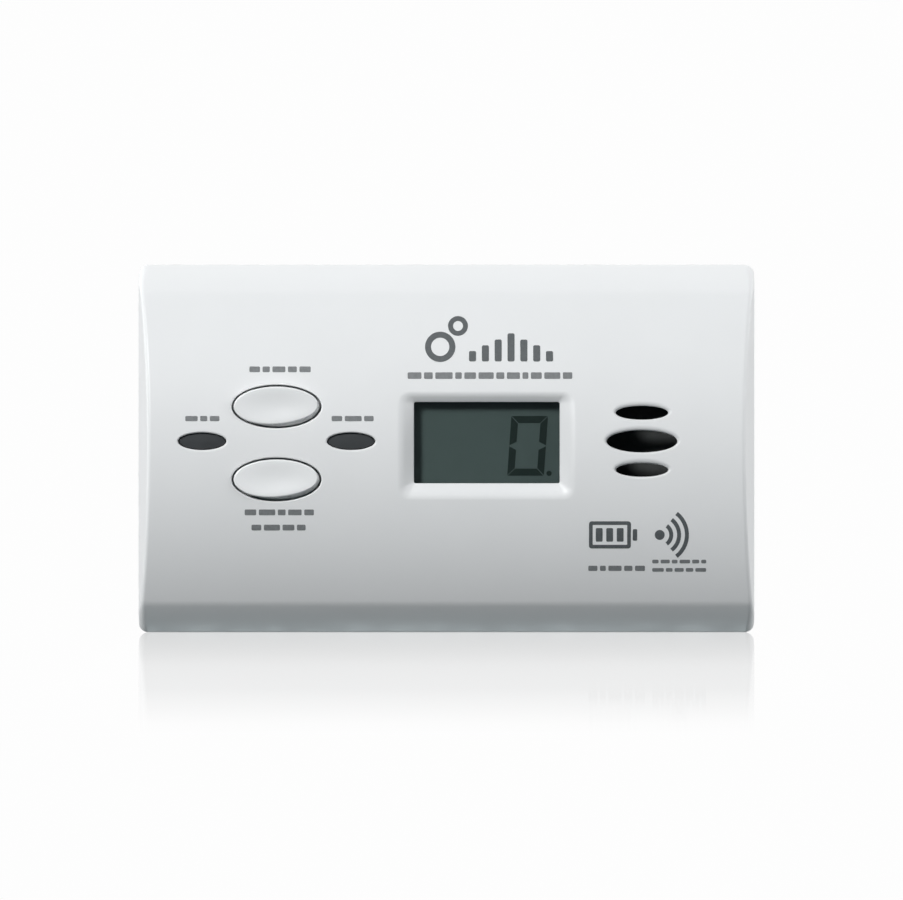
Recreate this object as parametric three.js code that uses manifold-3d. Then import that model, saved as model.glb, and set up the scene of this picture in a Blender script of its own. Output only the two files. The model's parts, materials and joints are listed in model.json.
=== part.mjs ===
// Battery-powered carbon monoxide alarm for a shelf or a wall.
//
// Millimetres. +Z is up, the front faces -Y and +X is to the right seen from the front.
// The origin is at the middle of the base that the alarm stands on.
//
// From front to back: the curved front cover with its two keys, two indicator lenses, display window
// and sounder slots; the display, switches, lamps and sounder on the front of the circuit board; the gas
// sensor and tall components on its back; the rear housing with the battery bay and the keyholes that the
// alarm hangs from; the hinged battery door.

import * as THREE from "three";
import { mergeVertices } from "three/addons/utils/BufferGeometryUtils.js";
import Module from "manifold-3d";

const wasm = await Module();
wasm.setup();

// ---------------------------------------------------------------- driving dimensions

const WIDTH = 118;
const HEIGHT = 70.5;
const DEPTH = 40;
const MID_Z = HEIGHT / 2;
const BACK_Y = DEPTH / 2; // back face of the rear housing
const CROWN_Y = -DEPTH / 2; // rims of the two keys
const FACE_Y = CROWN_Y + 0.5; // frontmost line of the front cover

const WALL = 2;
const GAP = 0.3; // between pieces that meet
const CORNER_R = 2; // corners of the outline seen from the front

// Front cover
const PARTING_Y = 1; // where the front cover ends
const SIDE_LEAN = 2; // each side leans in by this much between LEAN_Y and the face
const LEAN_Y = -9;
const FACE_R = 62; // the broad convex face
const CREASE_R = 5; // the tight bend between the face and the sloped band
const EDGE_R = 2; // between the band and the flat top or base
const FACE_TILT = 28; // degrees that the face's normal has turned where the crease starts
const CREASE_TILT = 45;
const BAND_TILT = 60;

// Controls on the face. Heights are measured from the middle of the face.
const KEY = { x: -32.4, upper: 8, lower: -5.9, a: 8.1, b: 3.7, clearance: 0.45, dish: 0.3 };
const LENS = { dx: 14.2, z: 1.35, a: 4.6, b: 1.65, clearance: 0.2 };
const WINDOW = { x: 7.7, z: 1.1, w: 27.8, h: 15.5, y: -17.6, lip: 0.8 };
const FUNNEL = { left: 2.5, right: 2.7, top: 1.6, bottom: 2.5 }; // how far the bezel flares on each side
const SOUNDER = { x: 37.3, z: 1.35, pitch: 5.45 };
const SLOTS = [
  { dz: SOUNDER.pitch, a: 5, b: 1.3 },
  { dz: 0, a: 6.75, b: 2.1 },
  { dz: -SOUNDER.pitch, a: 5, b: 1.3 },
];

// Circuit board
const BOARD = { front: -7.6, back: -6, w: 106, h: 56 };
const BOARD_SCREWS = [
  { x: -40, z: 24.75 },
  { x: 4, z: -23.25 },
  { x: 20, z: 24.75 },
];
const CASE_SCREW = { x: 51.5, z: 27.75, headY: 5 };

// Batteries and their bay in the rear housing. base is the thickness of its floor, wall that of its sides.
const CELL = { r: 7.25, length: 50.5, nubR: 2.75, nub: 1.2, pitch: 15.2, y: 9.8 };
const BAY = { half: 28.75, floor: 2.2, base: 1.5, wall: 3 };
const BAY_HALF_Z = CELL.pitch + CELL.r + 0.4;
const CONTACT = 0.4; // thickness of the contact strip
const SPRING_GAP = 0.1;

// Battery door. It turns on two stub pins near its lower edge.
const DOOR = { half: 29.9, top: 24.2, axis: -23.4, y0: 18, y1: 19.7 };
const PIN = { r: 0.6, clearance: 0.25, reach: 1.3 };
const TAB = { w: 14, reach: 2.8 };
const SCOOP = { w: 17, top: 30.5, y: 17.2 };

// Keyholes that the alarm hangs from
const KEYHOLE = { x: 41, z: 14, entryR: 4.25, slotR: 2, rise: 7, pocketY: 13.6, wall: 1.2 };

// ---------------------------------------------------------------- materials

function plastic(color, roughness = 0.45) {
  return new THREE.MeshStandardMaterial({ color, roughness, metalness: 0 });
}

function metal(color, roughness = 0.35) {
  return new THREE.MeshStandardMaterial({ color, roughness, metalness: 1 });
}

const MATERIALS = {
  shell: plastic(0xe9ebec),
  key: plastic(0xf0f1f1, 0.4),
  smoke: plastic(0x1b1d1e, 0.15),
  clear: plastic(0xdfe6e4, 0.05),
  displayGlass: new THREE.MeshStandardMaterial({ color: 0x55605d, roughness: 0.1, metalness: 0 }),
  reflector: metal(0x8d9896, 0.5),
  elastomer: plastic(0x9aa0a3, 0.8),
  board: plastic(0x1d5b35, 0.5),
  black: plastic(0x17181a, 0.5),
  foam: plastic(0x202122, 0.95),
  brass: metal(0xc9a24a, 0.3),
  ceramic: plastic(0xe6dfcf, 0.7),
  redLed: plastic(0xb3141a, 0.2),
  greenLed: plastic(0x1c9440, 0.2),
  steel: metal(0xb9bcc0, 0.3),
  nickel: metal(0xd3d0c6, 0.25),
  jacket: metal(0x3c4a57, 0.35),
  sensor: plastic(0xdadcd8, 0.6),
  sleeve: plastic(0x20242b, 0.4),
  redWire: plastic(0xa81c1c, 0.5),
  blackWire: plastic(0x1a1a1a, 0.5),
};

// ---------------------------------------------------------------- geometry helpers

// A three.js geometry as a manifold solid, whichever way its faces were wound.
function solidOf(geometry) {
  const bare = new THREE.BufferGeometry();
  bare.setAttribute("position", geometry.getAttribute("position"));
  bare.setIndex(geometry.index);
  const merged = mergeVertices(bare, 1e-4);
  const triVerts = new Uint32Array(merged.index.array);
  const vertProperties = merged.attributes.position.array;
  const made = new wasm.Manifold(new wasm.Mesh({ numProp: 3, vertProperties, triVerts }));
  if (made.volume() > 0) return made;
  const flipped = triVerts.slice();
  for (let i = 0; i < flipped.length; i += 3) {
    flipped[i] = triVerts[i + 1];
    flipped[i + 1] = triVerts[i];
  }
  return new wasm.Manifold(new wasm.Mesh({ numProp: 3, vertProperties, triVerts: flipped }));
}

// A manifold solid as a three.js geometry.
function geometryOf(solid) {
  const { vertProperties, triVerts, numProp } = solid.getMesh();
  const positions = [];
  for (let i = 0; i < vertProperties.length; i += numProp) {
    positions.push(vertProperties[i], vertProperties[i + 1], vertProperties[i + 2]);
  }
  const geometry = new THREE.BufferGeometry();
  geometry.setAttribute("position", new THREE.Float32BufferAttribute(positions, 3));
  geometry.setIndex(Array.from(triVerts));
  geometry.computeVertexNormals();
  return geometry;
}

function union(solids) {
  return solids.reduce((sum, next) => sum.add(next));
}

function cut(solid, tools) {
  return tools.reduce((rest, tool) => rest.subtract(tool), solid);
}

// A shape drawn in X and Z, as seen from the front, made solid from y0 to y1.
function alongY(shape, y0, y1, curveSegments = 12) {
  const geometry = new THREE.ExtrudeGeometry(shape, { depth: y1 - y0, bevelEnabled: false, curveSegments });
  geometry.rotateX(Math.PI / 2);
  geometry.translate(0, y1, 0);
  return solidOf(geometry);
}

// A shape drawn in Y and Z, made solid from x0 to x1.
function alongX(shape, x0, x1, curveSegments = 12) {
  const geometry = new THREE.ExtrudeGeometry(shape, { depth: x1 - x0, bevelEnabled: false, curveSegments });
  const axes = [new THREE.Vector3(0, 1, 0), new THREE.Vector3(0, 0, 1), new THREE.Vector3(1, 0, 0)];
  geometry.applyMatrix4(new THREE.Matrix4().makeBasis(...axes));
  geometry.translate(x0, 0, 0);
  return solidOf(geometry);
}

// A shape drawn in X and Y, made solid from z0 to z1.
function alongZ(shape, z0, z1) {
  const geometry = new THREE.ExtrudeGeometry(shape, { depth: z1 - z0, bevelEnabled: false });
  geometry.translate(0, 0, z0);
  return solidOf(geometry);
}

function box(x0, x1, y0, y1, z0, z1) {
  const geometry = new THREE.BoxGeometry(x1 - x0, y1 - y0, z1 - z0);
  geometry.translate((x0 + x1) / 2, (y0 + y1) / 2, (z0 + z1) / 2);
  return solidOf(geometry);
}

// A cylinder whose axis runs along Y.
function rod(x, z, r, y0, y1, segments = 20) {
  const geometry = new THREE.CylinderGeometry(r, r, y1 - y0, segments);
  geometry.translate(x, (y0 + y1) / 2, z);
  return solidOf(geometry);
}

// A profile of [radius, y] points turned about the Y axis.
function turned(points, segments = 24) {
  const profile = points.map(([r, y]) => new THREE.Vector2(r, y));
  return solidOf(new THREE.LatheGeometry(profile, segments));
}

function polygon(points) {
  return new THREE.Shape(points.map(([u, v]) => new THREE.Vector2(u, v)));
}

function ellipse(x, z, a, b) {
  const shape = new THREE.Shape();
  shape.absellipse(x, z, a, b, 0, 2 * Math.PI);
  return shape;
}

function roundedRect(x, z, w, h, r) {
  const [x0, x1, z0, z1] = [x - w / 2, x + w / 2, z - h / 2, z + h / 2];
  const shape = new THREE.Shape();
  shape.moveTo(x0 + r, z0);
  shape.lineTo(x1 - r, z0);
  shape.absarc(x1 - r, z0 + r, r, -Math.PI / 2, 0);
  shape.absarc(x1 - r, z1 - r, r, 0, Math.PI / 2);
  shape.absarc(x0 + r, z1 - r, r, Math.PI / 2, Math.PI);
  shape.absarc(x0 + r, z0 + r, r, Math.PI, 1.5 * Math.PI);
  return shape;
}

// A block between two rectangles in X and Z, [x0, x1, z0, z1], the first at y0 and the second at y1.
function taperedBlock(rect0, y0, rect1, y1) {
  const geometry = new THREE.BoxGeometry(2, 2, 2);
  const position = geometry.getAttribute("position");
  for (let i = 0; i < position.count; i++) {
    const front = position.getY(i) < 0;
    const [x0, x1, z0, z1] = front ? rect0 : rect1;
    const x = position.getX(i) < 0 ? x0 : x1;
    const z = position.getZ(i) < 0 ? z0 : z1;
    position.setXYZ(i, x, front ? y0 : y1, z);
  }
  return solidOf(geometry);
}

function mesh(name, solid, material, position = [0, 0, 0]) {
  const made = new THREE.Mesh(geometryOf(solid), material);
  made.name = name;
  made.position.set(...position);
  return made;
}

function group(...children) {
  const made = new THREE.Group();
  made.add(...children.flat());
  return made;
}

// ---------------------------------------------------------------- front cover

// The upper half of the front profile as [y, height above the middle], from the face's crest to the flat
// top: a chain of tangent arcs, each of which turns the normal on from one tilt to the next. inset moves
// every point inwards along its normal.
function halfProfile(inset) {
  const sine = (degrees) => Math.sin(THREE.MathUtils.degToRad(degrees));
  const rise = (from, to) => sine(to) - sine(from);
  const others =
    FACE_R * rise(0, FACE_TILT) + CREASE_R * rise(FACE_TILT, CREASE_TILT) + EDGE_R * rise(BAND_TILT, 90);
  const bandR = (HEIGHT / 2 - others) / rise(CREASE_TILT, BAND_TILT);
  const arcs = [
    { r: FACE_R, from: 0, to: FACE_TILT, steps: 7 },
    { r: CREASE_R, from: FACE_TILT, to: CREASE_TILT, steps: 2 },
    { r: bandR, from: CREASE_TILT, to: BAND_TILT, steps: 2 },
    { r: EDGE_R, from: BAND_TILT, to: 90, steps: 2 },
  ];
  const points = [];
  let [centreY, centreZ, lastR] = [FACE_Y, 0, 0];
  for (const { r, from, to, steps } of arcs) {
    const start = THREE.MathUtils.degToRad(from);
    centreY += (r - lastR) * Math.cos(start);
    centreZ -= (r - lastR) * Math.sin(start);
    lastR = r;
    for (let i = points.length ? 1 : 0; i <= steps; i++) {
      const tilt = THREE.MathUtils.degToRad(from + ((to - from) * i) / steps);
      const reach = Math.max(r - inset, 0);
      points.push([centreY - reach * Math.cos(tilt), centreZ + reach * Math.sin(tilt)]);
    }
  }
  return points.filter(([y, z], i) => !i || Math.hypot(y - points[i - 1][0], z - points[i - 1][1]) > 0.01);
}

// The cover's outer form, moved inwards by inset and closed off at rearY.
function coverForm(inset, rearY) {
  const half = halfProfile(inset);
  const topZ = HEIGHT / 2 - inset;
  const upper = [...half, [rearY, topZ]].map(([y, z]) => [y, MID_Z + z]);
  const lower = [...half.slice(1), [rearY, topZ]].map(([y, z]) => [y, MID_Z - z]).reverse();
  const profile = alongX(polygon([...upper, ...lower]), -WIDTH, WIDTH);
  const slope = SIDE_LEAN / (LEAN_Y - FACE_Y);
  const halfWidth = (y) => WIDTH / 2 - inset - Math.max(0, (LEAN_Y - y) * slope);
  const corners = [CROWN_Y - 1, LEAN_Y, rearY + 1].map((y) => [halfWidth(y), y]);
  const mirrored = corners.map(([x, y]) => [-x, y]).reverse();
  const plan = alongZ(polygon([...corners, ...mirrored]), -1, HEIGHT + 1);
  const cornerR = Math.max(CORNER_R - inset, 0.8);
  const outline = roundedRect(0, MID_Z, WIDTH - 2 * inset, HEIGHT - 2 * inset, cornerR);
  return profile.intersect(plan).intersect(alongY(outline, CROWN_Y - 1, rearY + 1, 4));
}

const KEYS = [
  { name: "test", z: MID_Z + KEY.upper },
  { name: "peak", z: MID_Z + KEY.lower },
];
const LENSES = [
  { name: "alarm", x: KEY.x - LENS.dx },
  { name: "power", x: KEY.x + LENS.dx },
];
const GUIDE_END = -15.5;
const DISPLAY_Z = MID_Z + WINDOW.z;
const DISPLAY_POCKET = { w: 34.6, h: 25, rib: 1, end: -14 };

function corners4(x, z) {
  return [-1, 1].flatMap((sx) => [-1, 1].map((sz) => [sx * x, MID_Z + sz * z]));
}

// Features that stand on the inside of the cover.
function coverFeatures() {
  const { w, h, rib, end } = DISPLAY_POCKET;
  const pocket = alongY(roundedRect(WINDOW.x, DISPLAY_Z, w + 2 * rib, h + 2 * rib, 1), FACE_Y, end, 2);
  const guides = KEYS.map(({ z }) => {
    const rim = KEY.clearance + 1.1;
    return alongY(ellipse(KEY.x, z, KEY.a + rim, KEY.b + rim), FACE_Y, GUIDE_END, 24);
  });
  const caseScrews = corners4(CASE_SCREW.x, CASE_SCREW.z);
  const casePosts = caseScrews.map(([x, z]) => rod(x, z, 3.5, FACE_Y, PARTING_Y, 16));
  const boardPosts = BOARD_SCREWS.map(({ x, z }) => rod(x, MID_Z + z, 2.5, FACE_Y, BOARD.front - GAP, 14));
  return union([pocket, ...guides, ...casePosts, ...boardPosts]);
}

function coverCuts() {
  const keyHoles = KEYS.map(({ z }) => {
    const shape = ellipse(KEY.x, z, KEY.a + KEY.clearance, KEY.b + KEY.clearance);
    return alongY(shape, CROWN_Y - 1, 0, 24);
  });
  const lensShapes = LENSES.map(({ x }) => ellipse(x, MID_Z + LENS.z, LENS.a, LENS.b));
  const slotShapes = SLOTS.map(({ dz, a, b }) => ellipse(SOUNDER.x, MID_Z + SOUNDER.z + dz, a, b));
  const roundHoles = [...lensShapes, ...slotShapes].map((shape) => alongY(shape, CROWN_Y, -16, 14));
  const x0 = WINDOW.x - WINDOW.w / 2;
  const x1 = WINDOW.x + WINDOW.w / 2;
  const z0 = DISPLAY_Z - WINDOW.h / 2;
  const z1 = DISPLAY_Z + WINDOW.h / 2;
  const flared = [x0 - FUNNEL.left, x1 + FUNNEL.right, z0 - FUNNEL.bottom, z1 + FUNNEL.top];
  const funnel = taperedBlock(flared, FACE_Y - 0.2, [x0, x1, z0, z1], WINDOW.y);
  const opening = box(x0, x1, FACE_Y, -16, z0, z1);
  const { w, h, end } = DISPLAY_POCKET;
  const seat = alongY(roundedRect(WINDOW.x, DISPLAY_Z, w, h, 0.5), WINDOW.y + WINDOW.lip, end + 1, 2);
  const casePilots = corners4(CASE_SCREW.x, CASE_SCREW.z).map(([x, z]) => rod(x, z, 1.55, -9.3, 2, 12));
  const boardPilots = BOARD_SCREWS.map(({ x, z }) => rod(x, MID_Z + z, 0.95, -10.8, -7, 10));
  return [...keyHoles, ...roundHoles, funnel, opening, seat, ...casePilots, ...boardPilots];
}

function frontCover() {
  const shell = coverForm(0, PARTING_Y).subtract(coverForm(WALL, PARTING_Y + 1));
  const features = coverFeatures().intersect(coverForm(WALL / 2, PARTING_Y));
  return mesh("front_cover", cut(shell.add(features), coverCuts()), MATERIALS.shell);
}

// ---------------------------------------------------------------- keys and their switches

const SWITCH = { size: 6, top: -11.1, pocket: 0.9, plungerR: 1.7, plungerTop: -12.9, stroke: 0.3 };
const KEY_STEM_END = SWITCH.plungerTop - GAP - 0.05;
const FLANGE = { front: GUIDE_END + GAP, thick: 1, rim: 1.5 };

// An oval cap with a dished top, the flange that keeps it in the cover and the stem that pushes the switch.
function key({ name, z }) {
  const segments = 48;
  const rings = [
    [1, FLANGE.front],
    [1, CROWN_Y + 0.7],
    [0.975, CROWN_Y + 0.3],
    [0.93, CROWN_Y + 0.08],
    [0.88, CROWN_Y],
    [0.6, CROWN_Y + 0.55 * KEY.dish],
    [0.3, CROWN_Y + 0.9 * KEY.dish],
    [0, CROWN_Y + KEY.dish],
  ];
  const profile = [[0, FLANGE.front], ...rings].map(([r, y]) => new THREE.Vector2(r, y));
  const dome = new THREE.LatheGeometry(profile, segments);
  dome.scale(KEY.a, 1, KEY.b);
  const flange = alongY(
    ellipse(0, 0, KEY.a + FLANGE.rim, KEY.b + FLANGE.rim),
    FLANGE.front,
    FLANGE.front + FLANGE.thick,
    16,
  );
  const stem = rod(0, 0, 1.8, FLANGE.front + FLANGE.thick / 2, KEY_STEM_END, 16);
  const solid = union([solidOf(dome), flange, stem]);
  return mesh(name + "_button", solid, MATERIALS.key, [KEY.x, 0, z]);
}

function tactSwitch({ name, z }) {
  const half = SWITCH.size / 2;
  const floor = SWITCH.top + SWITCH.pocket;
  const body = box(-half, half, SWITCH.top, BOARD.front, -half, half);
  const pocket = rod(0, 0, SWITCH.plungerR + GAP, SWITCH.top - 1, floor, 20);
  const plunger = rod(0, 0, SWITCH.plungerR, SWITCH.plungerTop, floor - SWITCH.stroke - 0.05, 20);
  return group(
    mesh(name + "_switch_body", body.subtract(pocket), MATERIALS.black, [KEY.x, 0, z]),
    mesh(name + "_switch_plunger", plunger, MATERIALS.sleeve, [KEY.x, 0, z]),
  );
}

// ---------------------------------------------------------------- indicator lamps

const LENS_FACE = FACE_Y + 0.55;
const LENS_FLANGE = { front: -17.2, back: -16.2 };
const LED = { r: 1.5, tip: -13.9, base: -8.9, rimR: 1.9 };

function indicator({ name, x }, ledMaterial) {
  const plug = alongY(ellipse(0, 0, LENS.a - LENS.clearance, LENS.b - LENS.clearance), LENS_FACE, -16.5, 14);
  const flange = alongY(ellipse(0, 0, LENS.a + 1.1, LENS.b + 1.1), LENS_FLANGE.front, LENS_FLANGE.back, 14);
  const guide = rod(0, 0, 1.8, -16.5, LED.tip - GAP, 14);
  const led = turned([
    [0, LED.tip],
    [0.75, LED.tip + 0.2],
    [1.3, LED.tip + 0.75],
    [LED.r, LED.tip + 1.5],
    [LED.r, LED.base - 1],
    [LED.rimR, LED.base - 1],
    [LED.rimR, LED.base],
    [0, LED.base],
  ], 16);
  const at = [x, 0, MID_Z + LENS.z];
  return group(
    mesh(name + "_lens", union([plug, flange, guide]), MATERIALS.smoke, at),
    mesh(name + "_led", led, ledMaterial, at),
    mesh(name + "_led_spacer", rod(0, 0, LED.rimR, LED.base, BOARD.front, 14), MATERIALS.black, at),
  );
}

// ---------------------------------------------------------------- display

const PANEL = { w: 31, h: 20, front: -15.6, sheet: 0.7, reflector: 0.3 };
const HOLDER = { w: 34, h: 24.4, front: -15.7, ledge: 2.5 };

// A flat block centred on the display.
function displayBlock(w, h, y0, y1) {
  return box(-w / 2, w / 2, y0, y1, -h / 2, h / 2);
}

function display() {
  const at = [WINDOW.x, 0, DISPLAY_Z];
  const { w, h, front, sheet, reflector } = PANEL;
  const rearGlass = front + sheet;
  const reflectorFront = rearGlass + sheet;
  const seat = reflectorFront + reflector;
  const shell = displayBlock(HOLDER.w, HOLDER.h, HOLDER.front, BOARD.front);
  const tray = displayBlock(w + 0.4, h + 0.4, HOLDER.front - 1, seat);
  const well = displayBlock(w - 2 * HOLDER.ledge, h - 0.4, seat - 1, BOARD.front + 1);
  const stripZ = h / 2 - 1.4;
  const strip = displayBlock(w - 2 * HOLDER.ledge - 1, 1.8, seat, BOARD.front);
  const strips = ["upper", "lower"].map((name, i) => {
    const z = DISPLAY_Z + (i ? -stripZ : stripZ);
    return mesh(name + "_contact_strip", strip, MATERIALS.elastomer, [WINDOW.x, 0, z]);
  });
  const windowFront = WINDOW.y + WINDOW.lip + 0.05;
  return group(
    mesh("display_window", displayBlock(34, 24, windowFront, windowFront + 1), MATERIALS.clear, at),
    mesh("lcd_front_glass", displayBlock(w, h - 3, front, rearGlass), MATERIALS.displayGlass, at),
    mesh("lcd_rear_glass", displayBlock(w, h, rearGlass, reflectorFront), MATERIALS.displayGlass, at),
    mesh("lcd_reflector", displayBlock(w - 1, h - 5.6, reflectorFront, seat), MATERIALS.reflector, at),
    mesh("lcd_holder", cut(shell, [tray, well]), MATERIALS.shell, at),
    strips,
  );
}

// ---------------------------------------------------------------- sounder

const HORN = { r: 12.2, seatR: 11.2, chamberR: 10.2, rear: -8.3, face: -13.6 };
const NECK = { outerR: 9.3, innerR: 7.9, front: -15.9, gasket: 0.45 };
const DISC = { r: 10.9, front: -11.3, thick: 0.3, ceramicR: 7.5, ceramic: 0.25 };

// A thin wire with a little slack from the sounder disc to the board.
function discWire(x, yDisc, slack) {
  const path = new THREE.CatmullRomCurve3([
    new THREE.Vector3(x, yDisc, 0),
    new THREE.Vector3(x, yDisc + 0.8, 0),
    new THREE.Vector3(x + slack, (yDisc + BOARD.front) / 2, slack),
    new THREE.Vector3(x + slack, BOARD.front - 0.9, 2 * slack),
    new THREE.Vector3(x + slack, BOARD.front - 0.05, 2 * slack),
  ]);
  const section = new THREE.Shape();
  section.absarc(0, 0, 0.4, 0, 2 * Math.PI);
  const options = { steps: 12, curveSegments: 4, extrudePath: path, bevelEnabled: false };
  return solidOf(new THREE.ExtrudeGeometry(section, options));
}

function sounder() {
  const at = [SOUNDER.x, 0, MID_Z + SOUNDER.z];
  const horn = turned([
    [HORN.seatR, HORN.rear],
    [HORN.r, HORN.rear],
    [HORN.r, HORN.face],
    [NECK.outerR, HORN.face],
    [NECK.outerR, NECK.front],
    [NECK.innerR, NECK.front],
    [NECK.innerR, HORN.face + 1.2],
    [HORN.chamberR, HORN.face + 1.2],
    [HORN.chamberR, DISC.front - 0.05],
    [HORN.seatR, DISC.front - 0.05],
    [HORN.seatR, HORN.rear],
  ], 36);
  const gasket = rod(0, 0, NECK.outerR, NECK.front - NECK.gasket, NECK.front, 32)
    .subtract(rod(0, 0, NECK.innerR, NECK.front - 2, NECK.front + 2, 32));
  const brassBack = DISC.front + DISC.thick;
  const ceramicBack = brassBack + DISC.ceramic;
  return group(
    mesh("sounder_horn", horn, MATERIALS.black, at),
    mesh("horn_gasket", gasket, MATERIALS.foam, at),
    mesh("piezo_disc", rod(0, 0, DISC.r, DISC.front, brassBack, 36), MATERIALS.brass, at),
    mesh("piezo_ceramic", rod(0, 0, DISC.ceramicR, brassBack, ceramicBack, 28), MATERIALS.ceramic, at),
    mesh("piezo_wire_red", discWire(-5, ceramicBack + 0.05, 0.8), MATERIALS.redWire, at),
    mesh("piezo_wire_black", discWire(9.2, brassBack + 0.05, -0.8), MATERIALS.blackWire, at),
  );
}

// ---------------------------------------------------------------- circuit board

function circuitBoard() {
  const [halfW, halfH] = [BOARD.w / 2, BOARD.h / 2];
  const blank = box(-halfW, halfW, BOARD.front, BOARD.back, MID_Z - halfH, MID_Z + halfH);
  const notch = 4.8;
  const notches = corners4(CASE_SCREW.x, CASE_SCREW.z).map(([x, z]) => {
    return box(x - notch, x + notch, BOARD.front - 1, BOARD.back + 1, z - notch, z + notch);
  });
  const holes = BOARD_SCREWS.map(({ x, z }) => rod(x, MID_Z + z, 1.3, BOARD.front - 1, BOARD.back + 1, 12));
  return mesh("circuit_board", cut(blank, [...notches, ...holes]), MATERIALS.board);
}

const SENSOR = { x: 42.6, z: -1, r: 9.7, base: -5.9, shoulder: 5.5, top: 8.5, portR: 1.5 };

// The electrochemical gas cell: a moulded body, a steel cap with the gas port, and a filter under it.
function gasSensor() {
  const { r, base, shoulder, top, portR } = SENSOR;
  const at = [SENSOR.x, 0, MID_Z + SENSOR.z];
  const body = turned([
    [0, base],
    [r - 1, base],
    [r, base + 1],
    [r, shoulder],
    [0, shoulder],
  ]);
  const cap = turned([
    [portR, top],
    [r - 1.2, top],
    [r - 0.4, top - 0.8],
    [r - 0.4, shoulder + 0.05],
    [r - 1.2, shoulder + 0.05],
    [r - 1.2, top - 0.9],
    [portR, top - 0.9],
    [portR, top],
  ]);
  const filter = rod(0, 0, r - 1.6, shoulder + 0.05, top - 1.1, 24);
  return group(
    mesh("gas_sensor_body", body, MATERIALS.sensor, at),
    mesh("gas_sensor_cap", cap, MATERIALS.nickel, at),
    mesh("gas_sensor_filter", filter, MATERIALS.foam, at),
  );
}

// A can with a rounded rim, standing on the back of the board.
function standingCan(r, length) {
  return turned([
    [0, BOARD.back],
    [r, BOARD.back],
    [r, BOARD.back + length - 0.5],
    [r - 0.5, BOARD.back + length],
    [0, BOARD.back + length],
  ], 20);
}

function boardComponents() {
  const capacitors = [
    { name: "capacitor_large", x: -44, z: 9, r: 4, length: 12 },
    { name: "capacitor_small", x: -44, z: -1, r: 3.15, length: 11 },
  ].map(({ name, x, z, r, length }) => {
    return mesh(name, standingCan(r, length), MATERIALS.sleeve, [x, 0, MID_Z + z]);
  });
  const core = turned([
    [0, BOARD.back],
    [4.5, BOARD.back],
    [4.5, BOARD.back + 1.2],
    [3, BOARD.back + 1.2],
    [3, BOARD.back + 7.8],
    [4.5, BOARD.back + 7.8],
    [4.5, BOARD.back + 9],
    [0, BOARD.back + 9],
  ], 20);
  const winding = rod(0, 0, 4.2, BOARD.back + 1.3, BOARD.back + 7.7, 20)
    .subtract(rod(0, 0, 3.1, BOARD.back, BOARD.back + 9, 20));
  const coilAt = [-42, 0, MID_Z - 14];
  const chip = box(-5, 5, BOARD.back, BOARD.back + 1.2, -5, 5);
  return group(
    capacitors,
    mesh("boost_coil_core", core, MATERIALS.black, coilAt),
    mesh("boost_coil_winding", winding, MATERIALS.brass, coilAt),
    mesh("microcontroller", chip, MATERIALS.black, [8, 0, MID_Z]),
  );
}

// ---------------------------------------------------------------- rear housing

function housingCavity() {
  const outline = roundedRect(0, MID_Z, WIDTH - 2 * WALL, HEIGHT - 2 * WALL, 0.8);
  return alongY(outline, PARTING_Y - 1, BACK_Y - WALL, 3);
}

// The tongue inside the front cover's wall that lines the two shells up.
function tongue() {
  const inset = WALL + GAP;
  const outer = roundedRect(0, MID_Z, WIDTH - 2 * inset, HEIGHT - 2 * inset, 0.8);
  const inner = roundedRect(0, MID_Z, WIDTH - 2 * inset - 2, HEIGHT - 2 * inset - 2, 0.5);
  const foot = roundedRect(0, MID_Z, WIDTH - WALL, HEIGHT - WALL, 0.8);
  const wallY = PARTING_Y + GAP;
  const ring = alongY(outer, PARTING_Y - 1.5, wallY, 3).add(alongY(foot, wallY, wallY + 1.5, 3));
  return ring.subtract(alongY(inner, PARTING_Y - 2, wallY + 2, 3));
}

// Three cradles that hold the cells apart from the bay's floor.
function cradle(x) {
  const root = BAY.floor - BAY.base / 2;
  const top = BAY.floor + 4;
  const shape = new THREE.Shape();
  shape.moveTo(root, MID_Z - BAY_HALF_Z);
  shape.lineTo(top, MID_Z - BAY_HALF_Z);
  for (const i of [-1, 0, 1]) {
    const z = MID_Z + i * CELL.pitch;
    const r = CELL.r + 0.15;
    const half = Math.acos((CELL.y - top) / r);
    shape.lineTo(top, z - r * Math.sin(half));
    for (let k = -3; k <= 3; k++) {
      const angle = (half * k) / 3;
      shape.lineTo(CELL.y - r * Math.cos(angle), z + r * Math.sin(angle));
    }
  }
  shape.lineTo(top, MID_Z + BAY_HALF_Z);
  shape.lineTo(root, MID_Z + BAY_HALF_Z);
  return alongX(shape, x - 0.75, x + 0.75);
}

// A keyhole's outline: a round entry with a narrow slot above it.
function keyholeShape(x) {
  const { z, entryR, slotR, rise } = KEYHOLE;
  const neck = Math.asin(slotR / entryR);
  const shape = new THREE.Shape();
  shape.moveTo(x - slotR, MID_Z + z + rise);
  shape.lineTo(x - slotR, MID_Z + z + entryR * Math.cos(neck));
  shape.absarc(x, MID_Z + z, entryR, Math.PI / 2 + neck, Math.PI / 2 - neck + 2 * Math.PI);
  shape.lineTo(x + slotR, MID_Z + z + rise);
  shape.absarc(x, MID_Z + z + rise, slotR, 0, Math.PI);
  return shape;
}

// The box behind a keyhole that takes the head of the screw in the wall.
function keyholePocket(x, grow) {
  const { z, entryR, rise, pocketY } = KEYHOLE;
  const half = entryR + 0.4 + grow;
  const z0 = MID_Z + z - entryR - 0.4 - grow;
  const z1 = MID_Z + z + rise + entryR + grow;
  return box(x - half, x + half, pocketY - grow, BACK_Y - WALL + (grow ? 0.5 : 0), z0, z1);
}

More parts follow.
